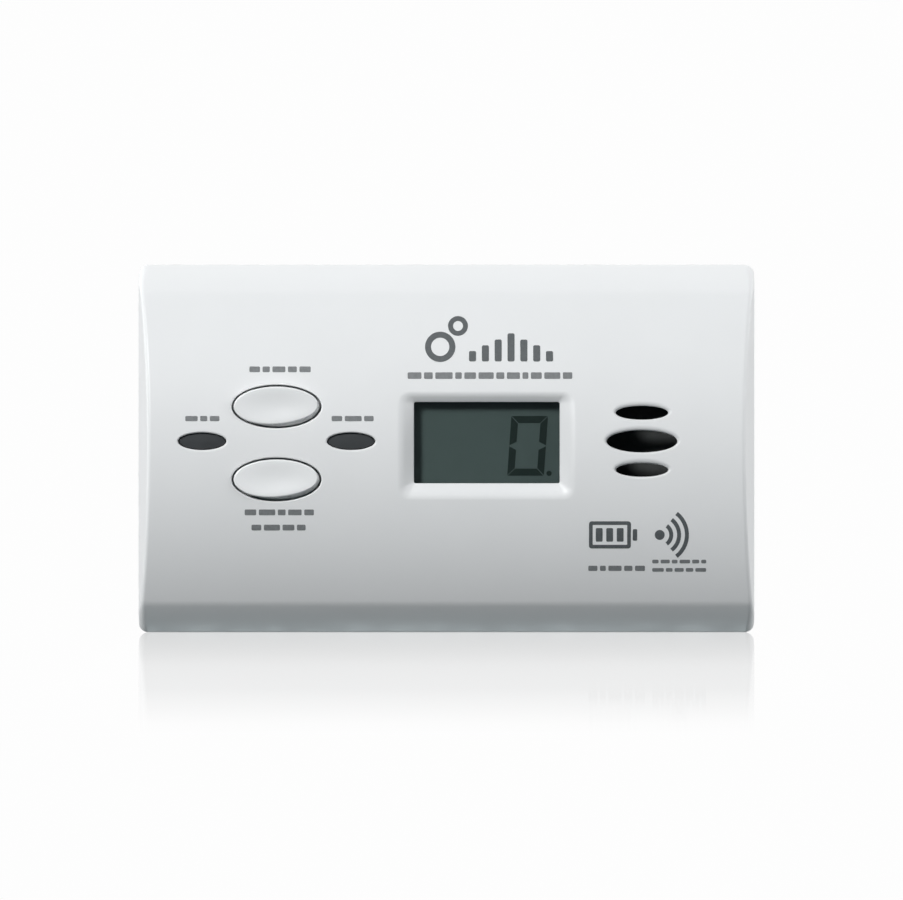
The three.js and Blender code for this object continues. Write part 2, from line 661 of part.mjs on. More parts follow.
// The recess that the battery door lies in, with a scoop for a fingertip above it.
function doorRecess() {
  const half = DOOR.half + GAP;
  const z0 = MID_Z + DOOR.axis - (DOOR.y1 - DOOR.y0) / 2 - GAP;
  const recess = box(-half, half, DOOR.y0 - GAP, BACK_Y + 1, z0, MID_Z + DOOR.top + GAP);
  const scoop = taperedBlock(
    [-SCOOP.w / 2 + 1.5, SCOOP.w / 2 - 1.5, MID_Z + DOOR.top - 1, MID_Z + SCOOP.top - 2],
    SCOOP.y,
    [-SCOOP.w / 2, SCOOP.w / 2, MID_Z + DOOR.top - 1, MID_Z + SCOOP.top],
    BACK_Y + 0.1,
  );
  return recess.add(scoop);
}

function rearHousing() {
  const outline = roundedRect(0, MID_Z, WIDTH, HEIGHT, CORNER_R);
  const shell = alongY(outline, PARTING_Y + GAP, BACK_Y, 4).subtract(housingCavity());
  const bayX = BAY.half + BAY.wall;
  const bayZ = BAY_HALF_Z + BAY.wall;
  const bayBlock = box(-bayX, bayX, BAY.floor - BAY.base, BACK_Y - 1, MID_Z - bayZ, MID_Z + bayZ);
  const bayHollow = box(-BAY.half, BAY.half, BAY.floor, BACK_Y + 1, MID_Z - BAY_HALF_Z, MID_Z + BAY_HALF_Z);
  const scoopX = SCOOP.w / 2 + 1;
  const scoopZ = MID_Z + SCOOP.top + 1;
  const scoopBlock = box(-scoopX, scoopX, SCOOP.y - 1.2, BACK_Y - 1, MID_Z + bayZ - 1, scoopZ);
  const screwAt = corners4(CASE_SCREW.x, CASE_SCREW.z);
  const tubes = screwAt.map(([x, z]) => rod(x, z, 4.6, PARTING_Y + GAP, BACK_Y - 1, 20));
  const inside = alongY(outline, PARTING_Y, BACK_Y - 0.5, 4);
  const keyholesX = [-KEYHOLE.x, KEYHOLE.x];
  const pocketBlocks = keyholesX.map((x) => keyholePocket(x, KEYHOLE.wall));
  const blocks = [bayBlock, scoopBlock, ...pocketBlocks];
  const solid = union([shell, tongue(), union(tubes).intersect(inside), ...blocks]);
  const counterbores = screwAt.map(([x, z]) => rod(x, z, 3.4, CASE_SCREW.headY, BACK_Y + 1, 20));
  const shankHoles = screwAt.map(([x, z]) => rod(x, z, 1.75, 0, BACK_Y, 12));
  const pockets = keyholesX.map((x) => keyholePocket(x, 0));
  const keyholes = keyholesX.map((x) => alongY(keyholeShape(x), BACK_Y - WALL - 1, BACK_Y + 1, 12));
  const hollows = [bayHollow, doorRecess(), ...pinHoles(), ...pockets, ...keyholes, ...sideVents()];
  const hollowed = cut(solid, [...hollows, ...counterbores, ...shankHoles]);
  const cradles = [-17, 0, 17].map(cradle);
  return mesh("rear_housing", cut(union([hollowed, ...cradles]), contactSlots()), MATERIALS.shell);
}

// Gas gets in through rows of slots in both side walls.
function sideVents() {
  const vents = [];
  for (let i = 0; i < 4; i++) {
    const y = 4.2 + i * 3;
    vents.push(box(-WIDTH, WIDTH, y, y + 1.4, MID_Z - 11, MID_Z + 9));
  }
  const core = box(-WIDTH / 2 + 4, WIDTH / 2 - 4, 0, 20, 0, HEIGHT);
  return vents.map((vent) => vent.subtract(core));
}

// ---------------------------------------------------------------- batteries and their contacts

// Cells alternate: +1 has its positive end to the right.
const CELLS = [
  { name: "upper", row: 1, sense: 1 },
  { name: "middle", row: 0, sense: -1 },
  { name: "lower", row: -1, sense: 1 },
];
const CONTACT_FACE = BAY.half - CONTACT;
const CELL_END = CONTACT_FACE - SPRING_GAP;

function cell({ name, row, sense }) {
  const { r, length, nubR, nub } = CELL;
  const solid = turned([
    [0, -length],
    [r - 2, -length],
    [r - 0.6, -length + 0.1],
    [r, -length + 0.7],
    [r, -nub - 0.9],
    [r - 0.7, -nub - 0.2],
    [nubR, -nub],
    [nubR, -0.2],
    [nubR - 0.2, 0],
    [0, 0],
  ], 28);
  const made = mesh(name + "_battery", solid, MATERIALS.jacket);
  made.rotation.z = (-Math.PI / 2) * sense;
  made.position.set(sense * CELL_END, CELL.y, MID_Z + row * CELL.pitch);
  return made;
}

// A conical wire spring that pushes on a cell's negative end, with its wide end on the contact strip.
function cellSpring({ name, row, sense }) {
  const turns = 3.5;
  const length = 2 * CELL_END - CELL.length - 1.2;
  const points = [];
  const steps = 14 * turns;
  for (let i = 0; i <= steps; i++) {
    const angle = (2 * Math.PI * i) / 14;
    const r = 4.6 - (2 * i) / steps;
    points.push(new THREE.Vector3(0.55 + (length * i) / steps, r * Math.cos(angle), r * Math.sin(angle)));
  }
  const section = new THREE.Shape();
  section.absarc(0, 0, 0.35, 0, 2 * Math.PI);
  const path = new THREE.CatmullRomCurve3(points);
  const options = { steps, curveSegments: 2, extrudePath: path, bevelEnabled: false };
  const coil = solidOf(new THREE.ExtrudeGeometry(section, options));
  const made = mesh(name + "_battery_spring", coil, MATERIALS.nickel);
  made.rotation.y = sense > 0 ? 0 : Math.PI;
  made.position.set(-sense * CONTACT_FACE, CELL.y, MID_Z + row * CELL.pitch);
  return made;
}

const CONTACTS = [
  { name: "negative_terminal", side: -1, rows: [1, 1], leg: true },
  { name: "left_bridge_contact", side: -1, rows: [-1, 0] },
  { name: "right_bridge_contact", side: 1, rows: [0, 1] },
  { name: "positive_terminal", side: 1, rows: [-1, -1], leg: true },
];
const LEG = { w: 3, end: BOARD.back + 0.1 };
const STRIP_HALF = 5;

// The flat strip behind one cell, or bridging two, with a leg to the board on the two terminals.
function contactStrip({ name, side, rows, leg }) {
  const z0 = MID_Z + rows[0] * CELL.pitch - STRIP_HALF;
  const z1 = MID_Z + rows[1] * CELL.pitch + STRIP_HALF;
  const x0 = side < 0 ? -BAY.half + 0.05 : CONTACT_FACE;
  const x1 = side < 0 ? -CONTACT_FACE : BAY.half - 0.05;
  const strip = box(x0, x1, CELL.y - STRIP_HALF, CELL.y + STRIP_HALF, z0, z1);
  const middle = MID_Z + rows[0] * CELL.pitch;
  const foot = box(x0, x1, LEG.end, CELL.y, middle - LEG.w / 2, middle + LEG.w / 2);
  return mesh(name, leg ? strip.add(foot) : strip, MATERIALS.nickel);
}

// Slots in the bay's floor that the terminals' legs go through.
function contactSlots() {
  return CONTACTS.filter(({ leg }) => leg).map(({ side, rows }) => {
    const x = side * (BAY.half - CONTACT / 2);
    const z = MID_Z + rows[0] * CELL.pitch;
    return box(x - 0.6, x + 0.6, BAY.floor - BAY.base - 1, BAY.floor + 0.5, z - 2, z + 2);
  });
}

// ---------------------------------------------------------------- battery door

const PIN_Y = (DOOR.y0 + DOOR.y1) / 2;

// A cylinder along X, centred on the door's hinge axis.
function hingeRod(r, x0, x1) {
  const shape = new THREE.Shape();
  shape.absarc(PIN_Y, MID_Z + DOOR.axis, r, 0, 2 * Math.PI);
  return alongX(shape, x0, x1, 8);
}

function pinHoles() {
  const r = PIN.r + PIN.clearance;
  const end = DOOR.half + PIN.reach + GAP;
  return [hingeRod(r, -end, -DOOR.half), hingeRod(r, DOOR.half, end)];
}

// The door's plate has a round lower end about the hinge axis, and a finger tab above its top edge.
function batteryDoor() {
  const { half, top, axis, y0, y1 } = DOOR;
  const section = new THREE.Shape();
  section.moveTo(y0, MID_Z + top);
  section.lineTo(y0, MID_Z + axis);
  section.absarc(PIN_Y, MID_Z + axis, (y1 - y0) / 2, Math.PI, 2 * Math.PI);
  section.lineTo(y1, MID_Z + top);
  const plate = alongX(section, -half, half, 8);
  const tab = box(-TAB.w / 2, TAB.w / 2, PIN_Y - 0.4, y1, MID_Z + top - 2, MID_Z + top + TAB.reach);
  const ridges = [0, 1, 2].map((i) => {
    const z = MID_Z + top - 4 - 1.6 * i;
    return box(-TAB.w / 2, TAB.w / 2, PIN_Y, y1 + 0.2, z - 0.4, z + 0.4);
  });
  const pins = hingeRod(PIN.r, -half - PIN.reach, half + PIN.reach);
  const padX = LABEL.half + 0.5;
  const pad = box(-padX, padX, y1 - 0.2, y1 + 1, MID_Z + LABEL.bottom - 0.5, MID_Z + LABEL.top + 0.5);
  return mesh("battery_door", cut(union([plate, tab, pins, ...ridges]), [pad]), MATERIALS.shell);
}

const LABEL = { half: 25.4, bottom: -18.9, top: 15.5, thick: 0.12 };

// A blank label that lies in a shallow pad on the door.
function ratingLabel() {
  const y0 = DOOR.y1 - 0.15;
  const middle = MID_Z + (LABEL.bottom + LABEL.top) / 2;
  const shape = roundedRect(0, middle, 2 * LABEL.half, LABEL.top - LABEL.bottom, 1.5);
  return mesh("rating_label", alongY(shape, y0, y0 + LABEL.thick, 4), MATERIALS.reflector);
}

// ---------------------------------------------------------------- screws

// A pan-head screw that drives towards -Y, with the underside of its head at y = 0.
function panHeadScrew(headR, headHeight, shankR, length) {
  const solid = turned([
    [0, headHeight],
    [headR * 0.7, headHeight],
    [headR, headHeight * 0.6],
    [headR, 0],
    [shankR, 0],
    [shankR, -length + shankR],
    [0, -length],
  ], 16);
  const slot = headR * 0.6;
  const bars = [
    box(-slot, slot, headHeight * 0.4, headHeight + 1, -headR * 0.12, headR * 0.12),
    box(-headR * 0.12, headR * 0.12, headHeight * 0.4, headHeight + 1, -slot, slot),
  ];
  return cut(solid, bars);
}

function screws() {
  const caseScrew = panHeadScrew(2.8, 2, 1.45, 13.5);
  const boardScrew = panHeadScrew(2, 1.4, 0.85, 4.4);
  const caseScrews = corners4(CASE_SCREW.x, CASE_SCREW.z).map(([x, z], i) => {
    return mesh("case_screw_" + (i + 1), caseScrew, MATERIALS.steel, [x, CASE_SCREW.headY + 0.05, z]);
  });
  const boardScrews = BOARD_SCREWS.map(({ x, z }, i) => {
    return mesh("board_screw_" + (i + 1), boardScrew, MATERIALS.steel, [x, BOARD.back + 0.05, MID_Z + z]);
  });
  return [...caseScrews, ...boardScrews];
}

// ---------------------------------------------------------------- the alarm

const alarm = group(
  frontCover(),
  KEYS.map(key),
  KEYS.map(tactSwitch),
  indicator(LENSES[0], MATERIALS.redLed),
  indicator(LENSES[1], MATERIALS.greenLed),
  display(),
  sounder(),
  circuitBoard(),
  gasSensor(),
  boardComponents(),
  rearHousing(),
  CELLS.map(cell),
  CELLS.map(cellSpring),
  CONTACTS.map(contactStrip),
  batteryDoor(),
  ratingLabel(),
  screws(),
);

export default alarm;
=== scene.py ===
"""Looks for the carbon monoxide alarm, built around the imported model.

Lengths in this file are millimetres, in the model's own frame: -Y is the front, +Z is up. They become
metres when a mesh is made.
"""

from collections import namedtuple
import json
import math

import bpy
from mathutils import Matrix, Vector
from mathutils.geometry import delaunay_2d_cdt

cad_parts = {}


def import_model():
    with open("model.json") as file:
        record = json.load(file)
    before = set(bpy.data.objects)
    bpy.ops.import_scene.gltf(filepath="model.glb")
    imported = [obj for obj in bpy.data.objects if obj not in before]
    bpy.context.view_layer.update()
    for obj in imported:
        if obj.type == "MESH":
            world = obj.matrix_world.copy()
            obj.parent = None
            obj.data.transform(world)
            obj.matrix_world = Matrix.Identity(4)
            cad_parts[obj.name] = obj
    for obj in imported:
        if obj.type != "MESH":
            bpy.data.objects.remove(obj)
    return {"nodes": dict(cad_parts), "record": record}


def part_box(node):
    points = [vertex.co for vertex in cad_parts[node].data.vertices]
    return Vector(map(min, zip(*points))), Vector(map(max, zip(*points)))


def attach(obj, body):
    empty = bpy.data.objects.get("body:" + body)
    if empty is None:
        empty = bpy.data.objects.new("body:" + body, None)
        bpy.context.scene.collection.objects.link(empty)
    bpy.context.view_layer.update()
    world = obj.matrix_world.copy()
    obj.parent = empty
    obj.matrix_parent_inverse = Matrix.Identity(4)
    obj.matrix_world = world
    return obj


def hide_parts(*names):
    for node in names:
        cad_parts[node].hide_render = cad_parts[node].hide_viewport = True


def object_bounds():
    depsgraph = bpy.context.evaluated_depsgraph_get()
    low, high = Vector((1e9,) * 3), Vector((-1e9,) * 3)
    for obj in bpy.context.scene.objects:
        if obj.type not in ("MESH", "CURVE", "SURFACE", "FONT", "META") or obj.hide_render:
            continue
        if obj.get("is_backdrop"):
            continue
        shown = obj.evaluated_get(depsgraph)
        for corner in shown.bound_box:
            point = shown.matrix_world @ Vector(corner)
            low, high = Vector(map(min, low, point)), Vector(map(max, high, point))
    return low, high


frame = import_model()
CAD_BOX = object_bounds()
MM = 0.001
CASE = "case"
FRONT = Vector((0, -1, 0))


def span(node):
    """The lowest and highest corner of a CAD node, in millimetres."""
    low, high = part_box(node)
    return Vector(low) / MM, Vector(high) / MM


def middle(node):
    low, high = span(node)
    return (low + high) / 2


# ---- sizes taken from the frame

COVER_LOW, COVER_HIGH = span("front_cover")
WIDTH = COVER_HIGH.x - COVER_LOW.x
HEIGHT = COVER_HIGH.z
MID_Z = HEIGHT / 2
FACE_Y = COVER_LOW.y
PARTING_Y = COVER_HIGH.y

# ---- form of the front cover

FACE_R = 62  # the broad convex face
CREASE_R = 5  # the tight bend between the face and the sloped band
EDGE_R = 2  # the bend between the band and the flat top
FACE_TILT = math.radians(28)
CREASE_TILT = math.radians(45)
BAND_TILT = math.radians(60)
UPRIGHT = math.pi / 2
SIDE_LEAN = 2  # how far the sides stand in at the crest of the face
LEAN_Y = -9  # where the leaning side meets the upright one
LEAN_BLEND = 2  # length over which the leaning side turns upright
SKIN = 1.5
FACE_EDGE_R = 0.9  # rounding between the face and the sides
TOP_EDGE_R = 1.8  # rounding between the flat top and the sides

KEY = {
    "a": 8.1,
    "b": 3.7,
    "clearance": 0.45,  # from the key's nominal oval to its hole
    "grow": 0.1,  # from the key's nominal oval to its cap
    "dish": 0.3,
    "edge": 0.32,
    "slope": 0.6,  # how far the sloping part of the side comes in
    "slope_side": -50,  # the direction it faces, in degrees
    "wall": 1.7,  # from the cap's rim down to its upright wall
    "flange_back": 1.95,  # from the flange's front to the stem's end
    "flange_reach": 1.4,
}
LENS = {
    "a": 4.6,
    "b": 1.65,
    "fit": 0.2,  # between the plug and its opening
    "edge": 0.25,
    "crown": 0.12,
    "flange_front": 1.75,  # from the lens's front to the flange
    "flange_reach": 1.3,
}
FLANGE = {"thick": 1, "stem_r": 1.8}  # behind both the keys and the lenses
COLLAR = {"lip": 0.3, "thick": 1.1, "reach": 4.5}  # around a key's hole, measured from the key's front
WINDOW = {
    "w": 27.8, "h": 15.5, "y": -17.6, "r": 0.35, "collar": 1.2, "seat_gap": 0.05,
    "turn": 0.06, "drop": 0.12,  # the last turn: the flare where it starts, and its depth
}
FLARE = {"left": 2.5, "right": 2.45, "top": 1.6, "bottom": 2.5, "r": 1.6}  # from the glass to the face
# each slot's rise from the middle one, half width and half height
SLOTS = [(5.45, 5.0, 1.3), (0, 6.75, 2.1), (-5.45, 5.0, 1.3)]
SLOT_LIP = {"r": 0.72, "lift": 0.45}  # the lip is wider above the slot than below it
LIP = 0.4  # rounding of a lens's opening


# one arc of the front profile: its normal turns from tilt0 to tilt1 between the arc lengths s0 and s1
Arc = namedtuple("Arc", "r tilt0 tilt1 y z s0 s1")


def front_arcs():
    """The arcs of the upper half, from the face's crest to the flat top."""
    others = (
        FACE_R * math.sin(FACE_TILT)
        + CREASE_R * (math.sin(CREASE_TILT) - math.sin(FACE_TILT))
        + EDGE_R * (1 - math.sin(BAND_TILT))
    )
    band_r = (HEIGHT / 2 - others) / (math.sin(BAND_TILT) - math.sin(CREASE_TILT))
    radii = [FACE_R, CREASE_R, band_r, EDGE_R]
    tilts = [0, FACE_TILT, CREASE_TILT, BAND_TILT, UPRIGHT]
    arcs = []
    y, z, last_r, s = FACE_Y, 0, 0, 0
    for r, start, end in zip(radii, tilts, tilts[1:]):
        y += (r - last_r) * math.cos(start)
        z -= (r - last_r) * math.sin(start)
        arcs.append(Arc(r, start, end, y, z, s, s + r * (end - start)))
        last_r, s = r, arcs[-1].s1
    return arcs


ARCS = front_arcs()
FLAT_S = ARCS[-1].s1
FLAT_Y = ARCS[-1].y
END_S = FLAT_S + PARTING_Y - FLAT_Y


def profile(s, inset=0.0):
    """Point (y, z) and normal (ny, nz) at arc length s above the crest, or below it where s is negative."""
    up = abs(s)
    if up >= FLAT_S:
        y, z, ny, nz = FLAT_Y + up - FLAT_S, HEIGHT / 2 - inset, 0.0, 1.0
    else:
        arc = next(a for a in ARCS if up <= a.s1)
        tilt = arc.tilt0 + (up - arc.s0) / arc.r
        reach = max(arc.r - inset, 0)
        ny, nz = -math.cos(tilt), math.sin(tilt)
        y, z = arc.y + reach * ny, arc.z + reach * nz
    side = 1 if s >= 0 else -1
    return y, MID_Z + side * z, ny, side * nz


def face_y(z, inset=0.0):
    """Where the broad face is at height z."""
    rise = z - MID_Z
    r = FACE_R - inset
    return FACE_Y + FACE_R - math.sqrt(r * r - rise * rise)


def face_s(z, inset=0.0):
    """Arc length of height z on the broad face."""
    return FACE_R * math.asin((z - MID_Z) / (FACE_R - inset))


def steps(start, end, step):
    """Evenly spaced values from start to end, no further apart than step."""
    n = max(1, math.ceil(abs(end - start) / step - 1e-9))
    return [start + (end - start) * i / n for i in range(n + 1)]


def bent(start, corner, end, t):
    """The point at t, from 0 to 1, on a curve from start to end that bends towards the corner."""
    return start * (1 - t) ** 2 + corner * (2 * t * (1 - t)) + end * t * t


def profile_rows():
    """Arc lengths of the cover's rows, from the flat bottom to the flat top."""
    upper = []
    for arc, step in zip(ARCS, (0.9, 0.25, 0.9, 0.15)):
        upper += steps(arc.s0, arc.s1, step)[:-1]
    upper += steps(FLAT_S, END_S, 1.0)
    return [-s for s in reversed(upper[1:])] + upper


ROWS = profile_rows()


def lean(y):
    """How far the side stands in from its widest at y, and its slope there."""
    slope = SIDE_LEAN / (LEAN_Y - FACE_Y)
    t = LEAN_Y - y
    if t <= -LEAN_BLEND:
        return 0.0, 0.0
    if t >= LEAN_BLEND:
        return slope * t, slope
    u = t + LEAN_BLEND
    return slope * u * u / (4 * LEAN_BLEND), slope * u / (2 * LEAN_BLEND)


def edge_radius(s):
    """The rounding along the side edge grows from the face to the flat top."""
    start, end = ARCS[1].s0, ARCS[3].s0
    t = min(max((abs(s) - start) / (end - start), 0), 1)
    t = t * t * (3 - 2 * t)
    return FACE_EDGE_R + (TOP_EDGE_R - FACE_EDGE_R) * t


def edge_arc(s, count=7):
    """The rounding between face and right side at s: count + 1 corners, from the face to the side."""
    r = edge_radius(s)
    y, z, _, _ = profile(s, r)
    _, _, ny, nz = profile(s)
    inward, slope = lean(y)
    angle = math.atan(slope)
    centre = Vector((WIDTH / 2 - inward - r / math.cos(angle), y, z))
    first = Vector((0, ny, nz))
    last = Vector((math.cos(angle), -math.sin(angle), 0))
    sweep = first.angle(last)
    corners = []
    for i in range(count + 1):
        t = i / count
        n = (math.sin((1 - t) * sweep) * first + math.sin(t * sweep) * last) / math.sin(sweep)
        corners.append((centre + r * n, n))
    return corners


# ---- meshes


WELD = {"cells": 1000, "shift": 0.137}  # cells per millimetre; the shift keeps round values off cell edges


class Surface:
    """Faces with a normal at each corner, which become one welded mesh."""

    def __init__(self):
        self.points, self.seen = [], {}
        self.faces, self.normals = [], []

    def index(self, point):
        key = tuple(round(c * WELD["cells"] + WELD["shift"]) for c in point)
        if key not in self.seen:
            self.seen[key] = len(self.points)
            self.points.append(Vector(point))
        return self.seen[key]

    def face(self, corners):
        """Adds one face, turned so that it faces along its corners' normals."""
        kept = {}
        for point, normal in corners:
            kept.setdefault(self.index(point), normal)
        order = list(kept)
        ring = [self.points[i] for i in order]
        area = sum((a.cross(b) for a, b in zip(ring, ring[1:] + ring[:1])), Vector())
        if len(order) < 3 or area.length < 1e-9:
            return
        if area.dot(sum(kept.values(), Vector())) < 0:
            order.reverse()
        self.faces.append(order)
        self.normals += [kept[i].normalized() for i in order]

    def strip(self, first, second, closed=False):
        """Quads between two rows of corners."""
        last = len(first) if closed else len(first) - 1
        for i in range(last):
            j = (i + 1) % len(first)
            self.face([first[i], first[j], second[j], second[i]])

    def fill(self, loops, extra, lift):
        """Triangles inside the first loop and outside the others. A loop's items are (u, v, corner)."""
        flat, edges, given = [], [], []
        for loop in loops:
            start, n = len(flat), len(loop)
            flat += [(u, v) for u, v, _ in loop]
            given += [corner for _, _, corner in loop]
            edges += [(start + i, start + (i + 1) % n) for i in range(n)]
        flat += extra
        given += [None] * len(extra)
        verts, _, triangles, origins, _, _ = delaunay_2d_cdt([Vector(p) for p in flat], edges, [], 0, 1e-6)
        corners = []
        for vert, origin in zip(verts, origins):
            known = [o for o in origin if given[o]]
            place = flat[origin[0]] if origin else tuple(vert)
            corners.append(given[known[0]] if known else lift(*place))
        outlines = [[(u, v) for u, v, _ in loop] for loop in loops]
        for triangle in triangles:
            u = sum(verts[i].x for i in triangle) / 3
            v = sum(verts[i].y for i in triangle) / 3
            if within(outlines, u, v):
                self.face([corners[i] for i in triangle])

    def make(self, name):
        mesh = bpy.data.meshes.new(name)
        mesh.from_pydata([p * MM for p in self.points], [], self.faces)
        mesh.polygons.foreach_set("use_smooth", [True] * len(mesh.polygons))
        mesh.normals_split_custom_set(self.normals)
        return add(name, mesh)


def encloses(outline, u, v):
    """Whether a point lies inside an outline."""
    inside = False
    u0, v0 = outline[-1]
    for u1, v1 in outline:
        if (v1 > v) != (v0 > v) and u < (u0 - u1) * (v - v1) / (v0 - v1) + u1:
            inside = not inside
        u0, v0 = u1, v1
    return inside


def within(outlines, u, v, margin=0.0):
    """Whether a point is inside the first outline, outside the others and clear of them all by a margin."""
    if sum(encloses(outline, u, v) for outline in outlines) % 2 == 0:
        return False
    return margin == 0 or min(math.dist((u, v), p) for outline in outlines for p in outline) > margin


def add(name, data):
    piece = bpy.data.objects.new(name, data)
    bpy.context.scene.collection.objects.link(piece)
    return piece


def ring_corners(rows):
    """Corners of a smooth band of closed rows. The rows' own normals come from the band's shape."""
    count, n = len(rows), len(rows[0])
    band = []
    for k, row in enumerate(rows):
        before, after = rows[max(k - 1, 0)], rows[min(k + 1, count - 1)]
        corners = []
        for i, point in enumerate(row):
            along = row[(i + 1) % n] - row[i - 1]
            across = after[i] - before[i]
            corners.append((point, along.cross(across).normalized()))
        band.append(corners)
    return band


def add_bands(surface, bands, first_normals=None):
    """Adds smooth bands of closed rows. first_normals replaces the normals of the very first row."""
    for b, rows in enumerate(bands):
        band = ring_corners(rows)
        if b == 0 and first_normals:
            band[0] = [(point, n) for (point, _), n in zip(band[0], first_normals)]
        for first, second in zip(band, band[1:]):
            surface.strip(first, second, closed=True)


def closed_part(name, bands, axis):
    """A closed solid from bands of rows with flat ends. The axis points from its first row to its last."""
    surface = Surface()
    add_bands(surface, bands)
    surface.face([(point, -axis) for point in bands[0][0]])
    surface.face([(point, axis) for point in bands[-1][-1]])
    return surface.make(name)


def add_sheet(surface, loops, extra, front, back):
    """A thin closed part. The first outline is its rim, the rest are holes. Its sides give y, ny, nz at z."""
    for side, facing in ((front, 1), (back, -1)):

        def lift(x, z, side=side, facing=facing):
            y, ny, nz = side(z)
            return Vector((x, y, z)), Vector((0, ny, nz)) * facing

        surface.fill([[(x, z, None) for x, z in loop] for loop in loops], extra, lift)
    for k, loop in enumerate(loops):
        for (x0, z0), (x1, z1) in zip(loop, loop[1:] + loop[:1]):
            normal = Vector((z1 - z0, 0, x0 - x1)) * (-1 if k else 1)
            corners = [(x0, front, z0), (x1, front, z1), (x1, back, z1), (x0, back, z0)]
            surface.face([(Vector((x, side(z)[0], z)), normal) for x, side, z in corners])


# ---- outlines, counter-clockwise from the front


def arc_points(x, z, a, b, angles):
    return [(x + a * math.cos(t), z + b * math.sin(t)) for t in angles]


def ellipse(x, z, a, b, n=72):
    return arc_points(x, z, a, b, [2 * math.pi * i / n for i in range(n)])


def rounded_rect(x0, x1, z0, z1, r, n=7, per_side=14):
    """A rectangle with n steps around each corner and per_side steps along each side."""
    left, right, low, high = x0 + r, x1 - r, z0 + r, z1 - r
    arcs = []
    for x, z, start in ((right, high, 0), (left, high, 90), (left, low, 180), (right, low, 270)):
        arcs.append(arc_points(x, z, r, r, [math.radians(start + 90 * i / n) for i in range(n + 1)]))
    points = []
    shares = [i / per_side for i in range(1, per_side)]
    for arc, after in zip(arcs, arcs[1:] + arcs[:1]):
        (u0, v0), (u1, v1) = arc[-1], after[0]
        points += arc + [(u0 + (u1 - u0) * t, v0 + (v1 - v0) * t) for t in shares]
    return points


# ---- front cover


def placed(outline, y_at):
    """The points of an outline, at the depth that y_at gives for each height."""
    return [Vector((x, y_at(z), z)) for x, z in outline]


def inner_row(outline):
    """An outline on the cover's inner skin."""
    return placed(outline, lambda z: face_y(z, SKIN))


def lip_rows(outline, r, count=7):
    """Rows that turn from the face into an opening, ending r behind the face."""
    rows = []
    for k in range(count + 1):
        angle = UPRIGHT * k / count
        depth = r * (1 - math.cos(angle))
        rows.append(placed(outline(r * (1 - math.sin(angle))), lambda z, depth=depth: face_y(z) + depth))
    return rows


def plain_opening(outline, r):
    """An opening with a rounded lip and a straight wall."""
    rows = lip_rows(outline, r)
    return [rows, [rows[-1], inner_row(outline(0))]]


def collared_opening(rows, outline, end_y, thick):
    """An opening with a collar around it on the inside. Its lip's rows are given."""
    foot, rim = [placed(outline(spread), lambda z: end_y) for spread in (0, thick)]
    return [rows, [rows[-1], foot], [foot, rim], [rim, inner_row(outline(thick))]]


def window_outline(flare, spread=0.0):
    """The window's outline, at its glass where flare is 0 and at the face where it is 1."""
    c, half_w, half_h = middle("display_window"), WINDOW["w"] / 2, WINDOW["h"] / 2
    grow = {side: flare * reach + spread for side, reach in FLARE.items()}
    x0, x1 = c.x - half_w - grow["left"], c.x + half_w + grow["right"]
    z0, z1 = c.z - half_h - grow["bottom"], c.z + half_h + grow["top"]
    return rounded_rect(x0, x1, z0, z1, WINDOW["r"] + grow["r"])


def window_opening():
    """The flared bezel: a soft lip, a slope down to the glass and a short wall."""

    def slope_row(flare):
        return placed(window_outline(flare), lambda z: WINDOW["y"] + (face_y(z) - WINDOW["y"]) * flare)

    outer, corner, inner = placed(window_outline(1.3), face_y), slope_row(1), slope_row(0.62)
    lip = [[bent(*points, k / 8) for points in zip(outer, corner, inner)] for k in range(9)]
    lip += [slope_row(flare) for flare in (0.4, 0.2, WINDOW["turn"])]
    for k in range(1, 4):
        angle = UPRIGHT * k / 3
        drop = Vector((0, WINDOW["drop"] * (1 - math.cos(angle)), 0))
        lip.append([p + drop for p in slope_row(WINDOW["turn"] * (1 - math.sin(angle)))])
    seat_y = span("display_window")[0].y - WINDOW["seat_gap"]
    return collared_opening(lip, lambda spread: window_outline(0, spread), seat_y, WINDOW["collar"])


def oval_outline(centre, a, b, n, lift=0):
    """An oval opening's outline for any spread. The outline rises by a share of the spread."""
    return lambda spread: ellipse(centre.x, centre.z + lift * spread, a + spread, b + spread, n)


def cover_openings():
    """Each opening is a list of bands of rows, from the outer face to the inner skin."""
    openings = []
    for node in ("test_button", "peak_button"):
        outline = oval_outline(middle(node), KEY["a"] + KEY["clearance"], KEY["b"] + KEY["clearance"], 96)
        end_y = span(node)[0].y + COLLAR["reach"]
        openings.append(collared_opening(lip_rows(outline, COLLAR["lip"]), outline, end_y, COLLAR["thick"]))
    for node in ("alarm_lens", "power_lens"):
        openings.append(plain_opening(oval_outline(middle(node), LENS["a"], LENS["b"], 64), LIP))
    for rise, a, b in SLOTS:
        centre = middle("horn_gasket") + Vector((0, 0, rise))
        openings.append(plain_opening(oval_outline(centre, a, b, 72, SLOT_LIP["lift"]), SLOT_LIP["r"]))
    return openings + [window_opening()]


def spaced_grid(rows, half_width, loops, step):
    """Points of a grid inside the first loop that keep clear of it and of the openings."""
    outlines = [[(u, v) for u, v, _ in loop] for loop in loops]
    grid = [(x, s) for s in rows[1:-1] for x in steps(-half_width(s) + 1, half_width(s) - 1, step)]
    return [p for p in grid if within(outlines, *p, SPACING["margin"])]


def between(start, end, step):
    """Evenly spaced values between start and end, without the two."""
    return steps(start, end, step)[1:-1]


def mirrored(corner):
    """The corner on the left side for one on the right."""
    point, normal = corner
    return Vector((-point.x, point.y, point.z)), Vector((-normal.x, normal.y, normal.z))


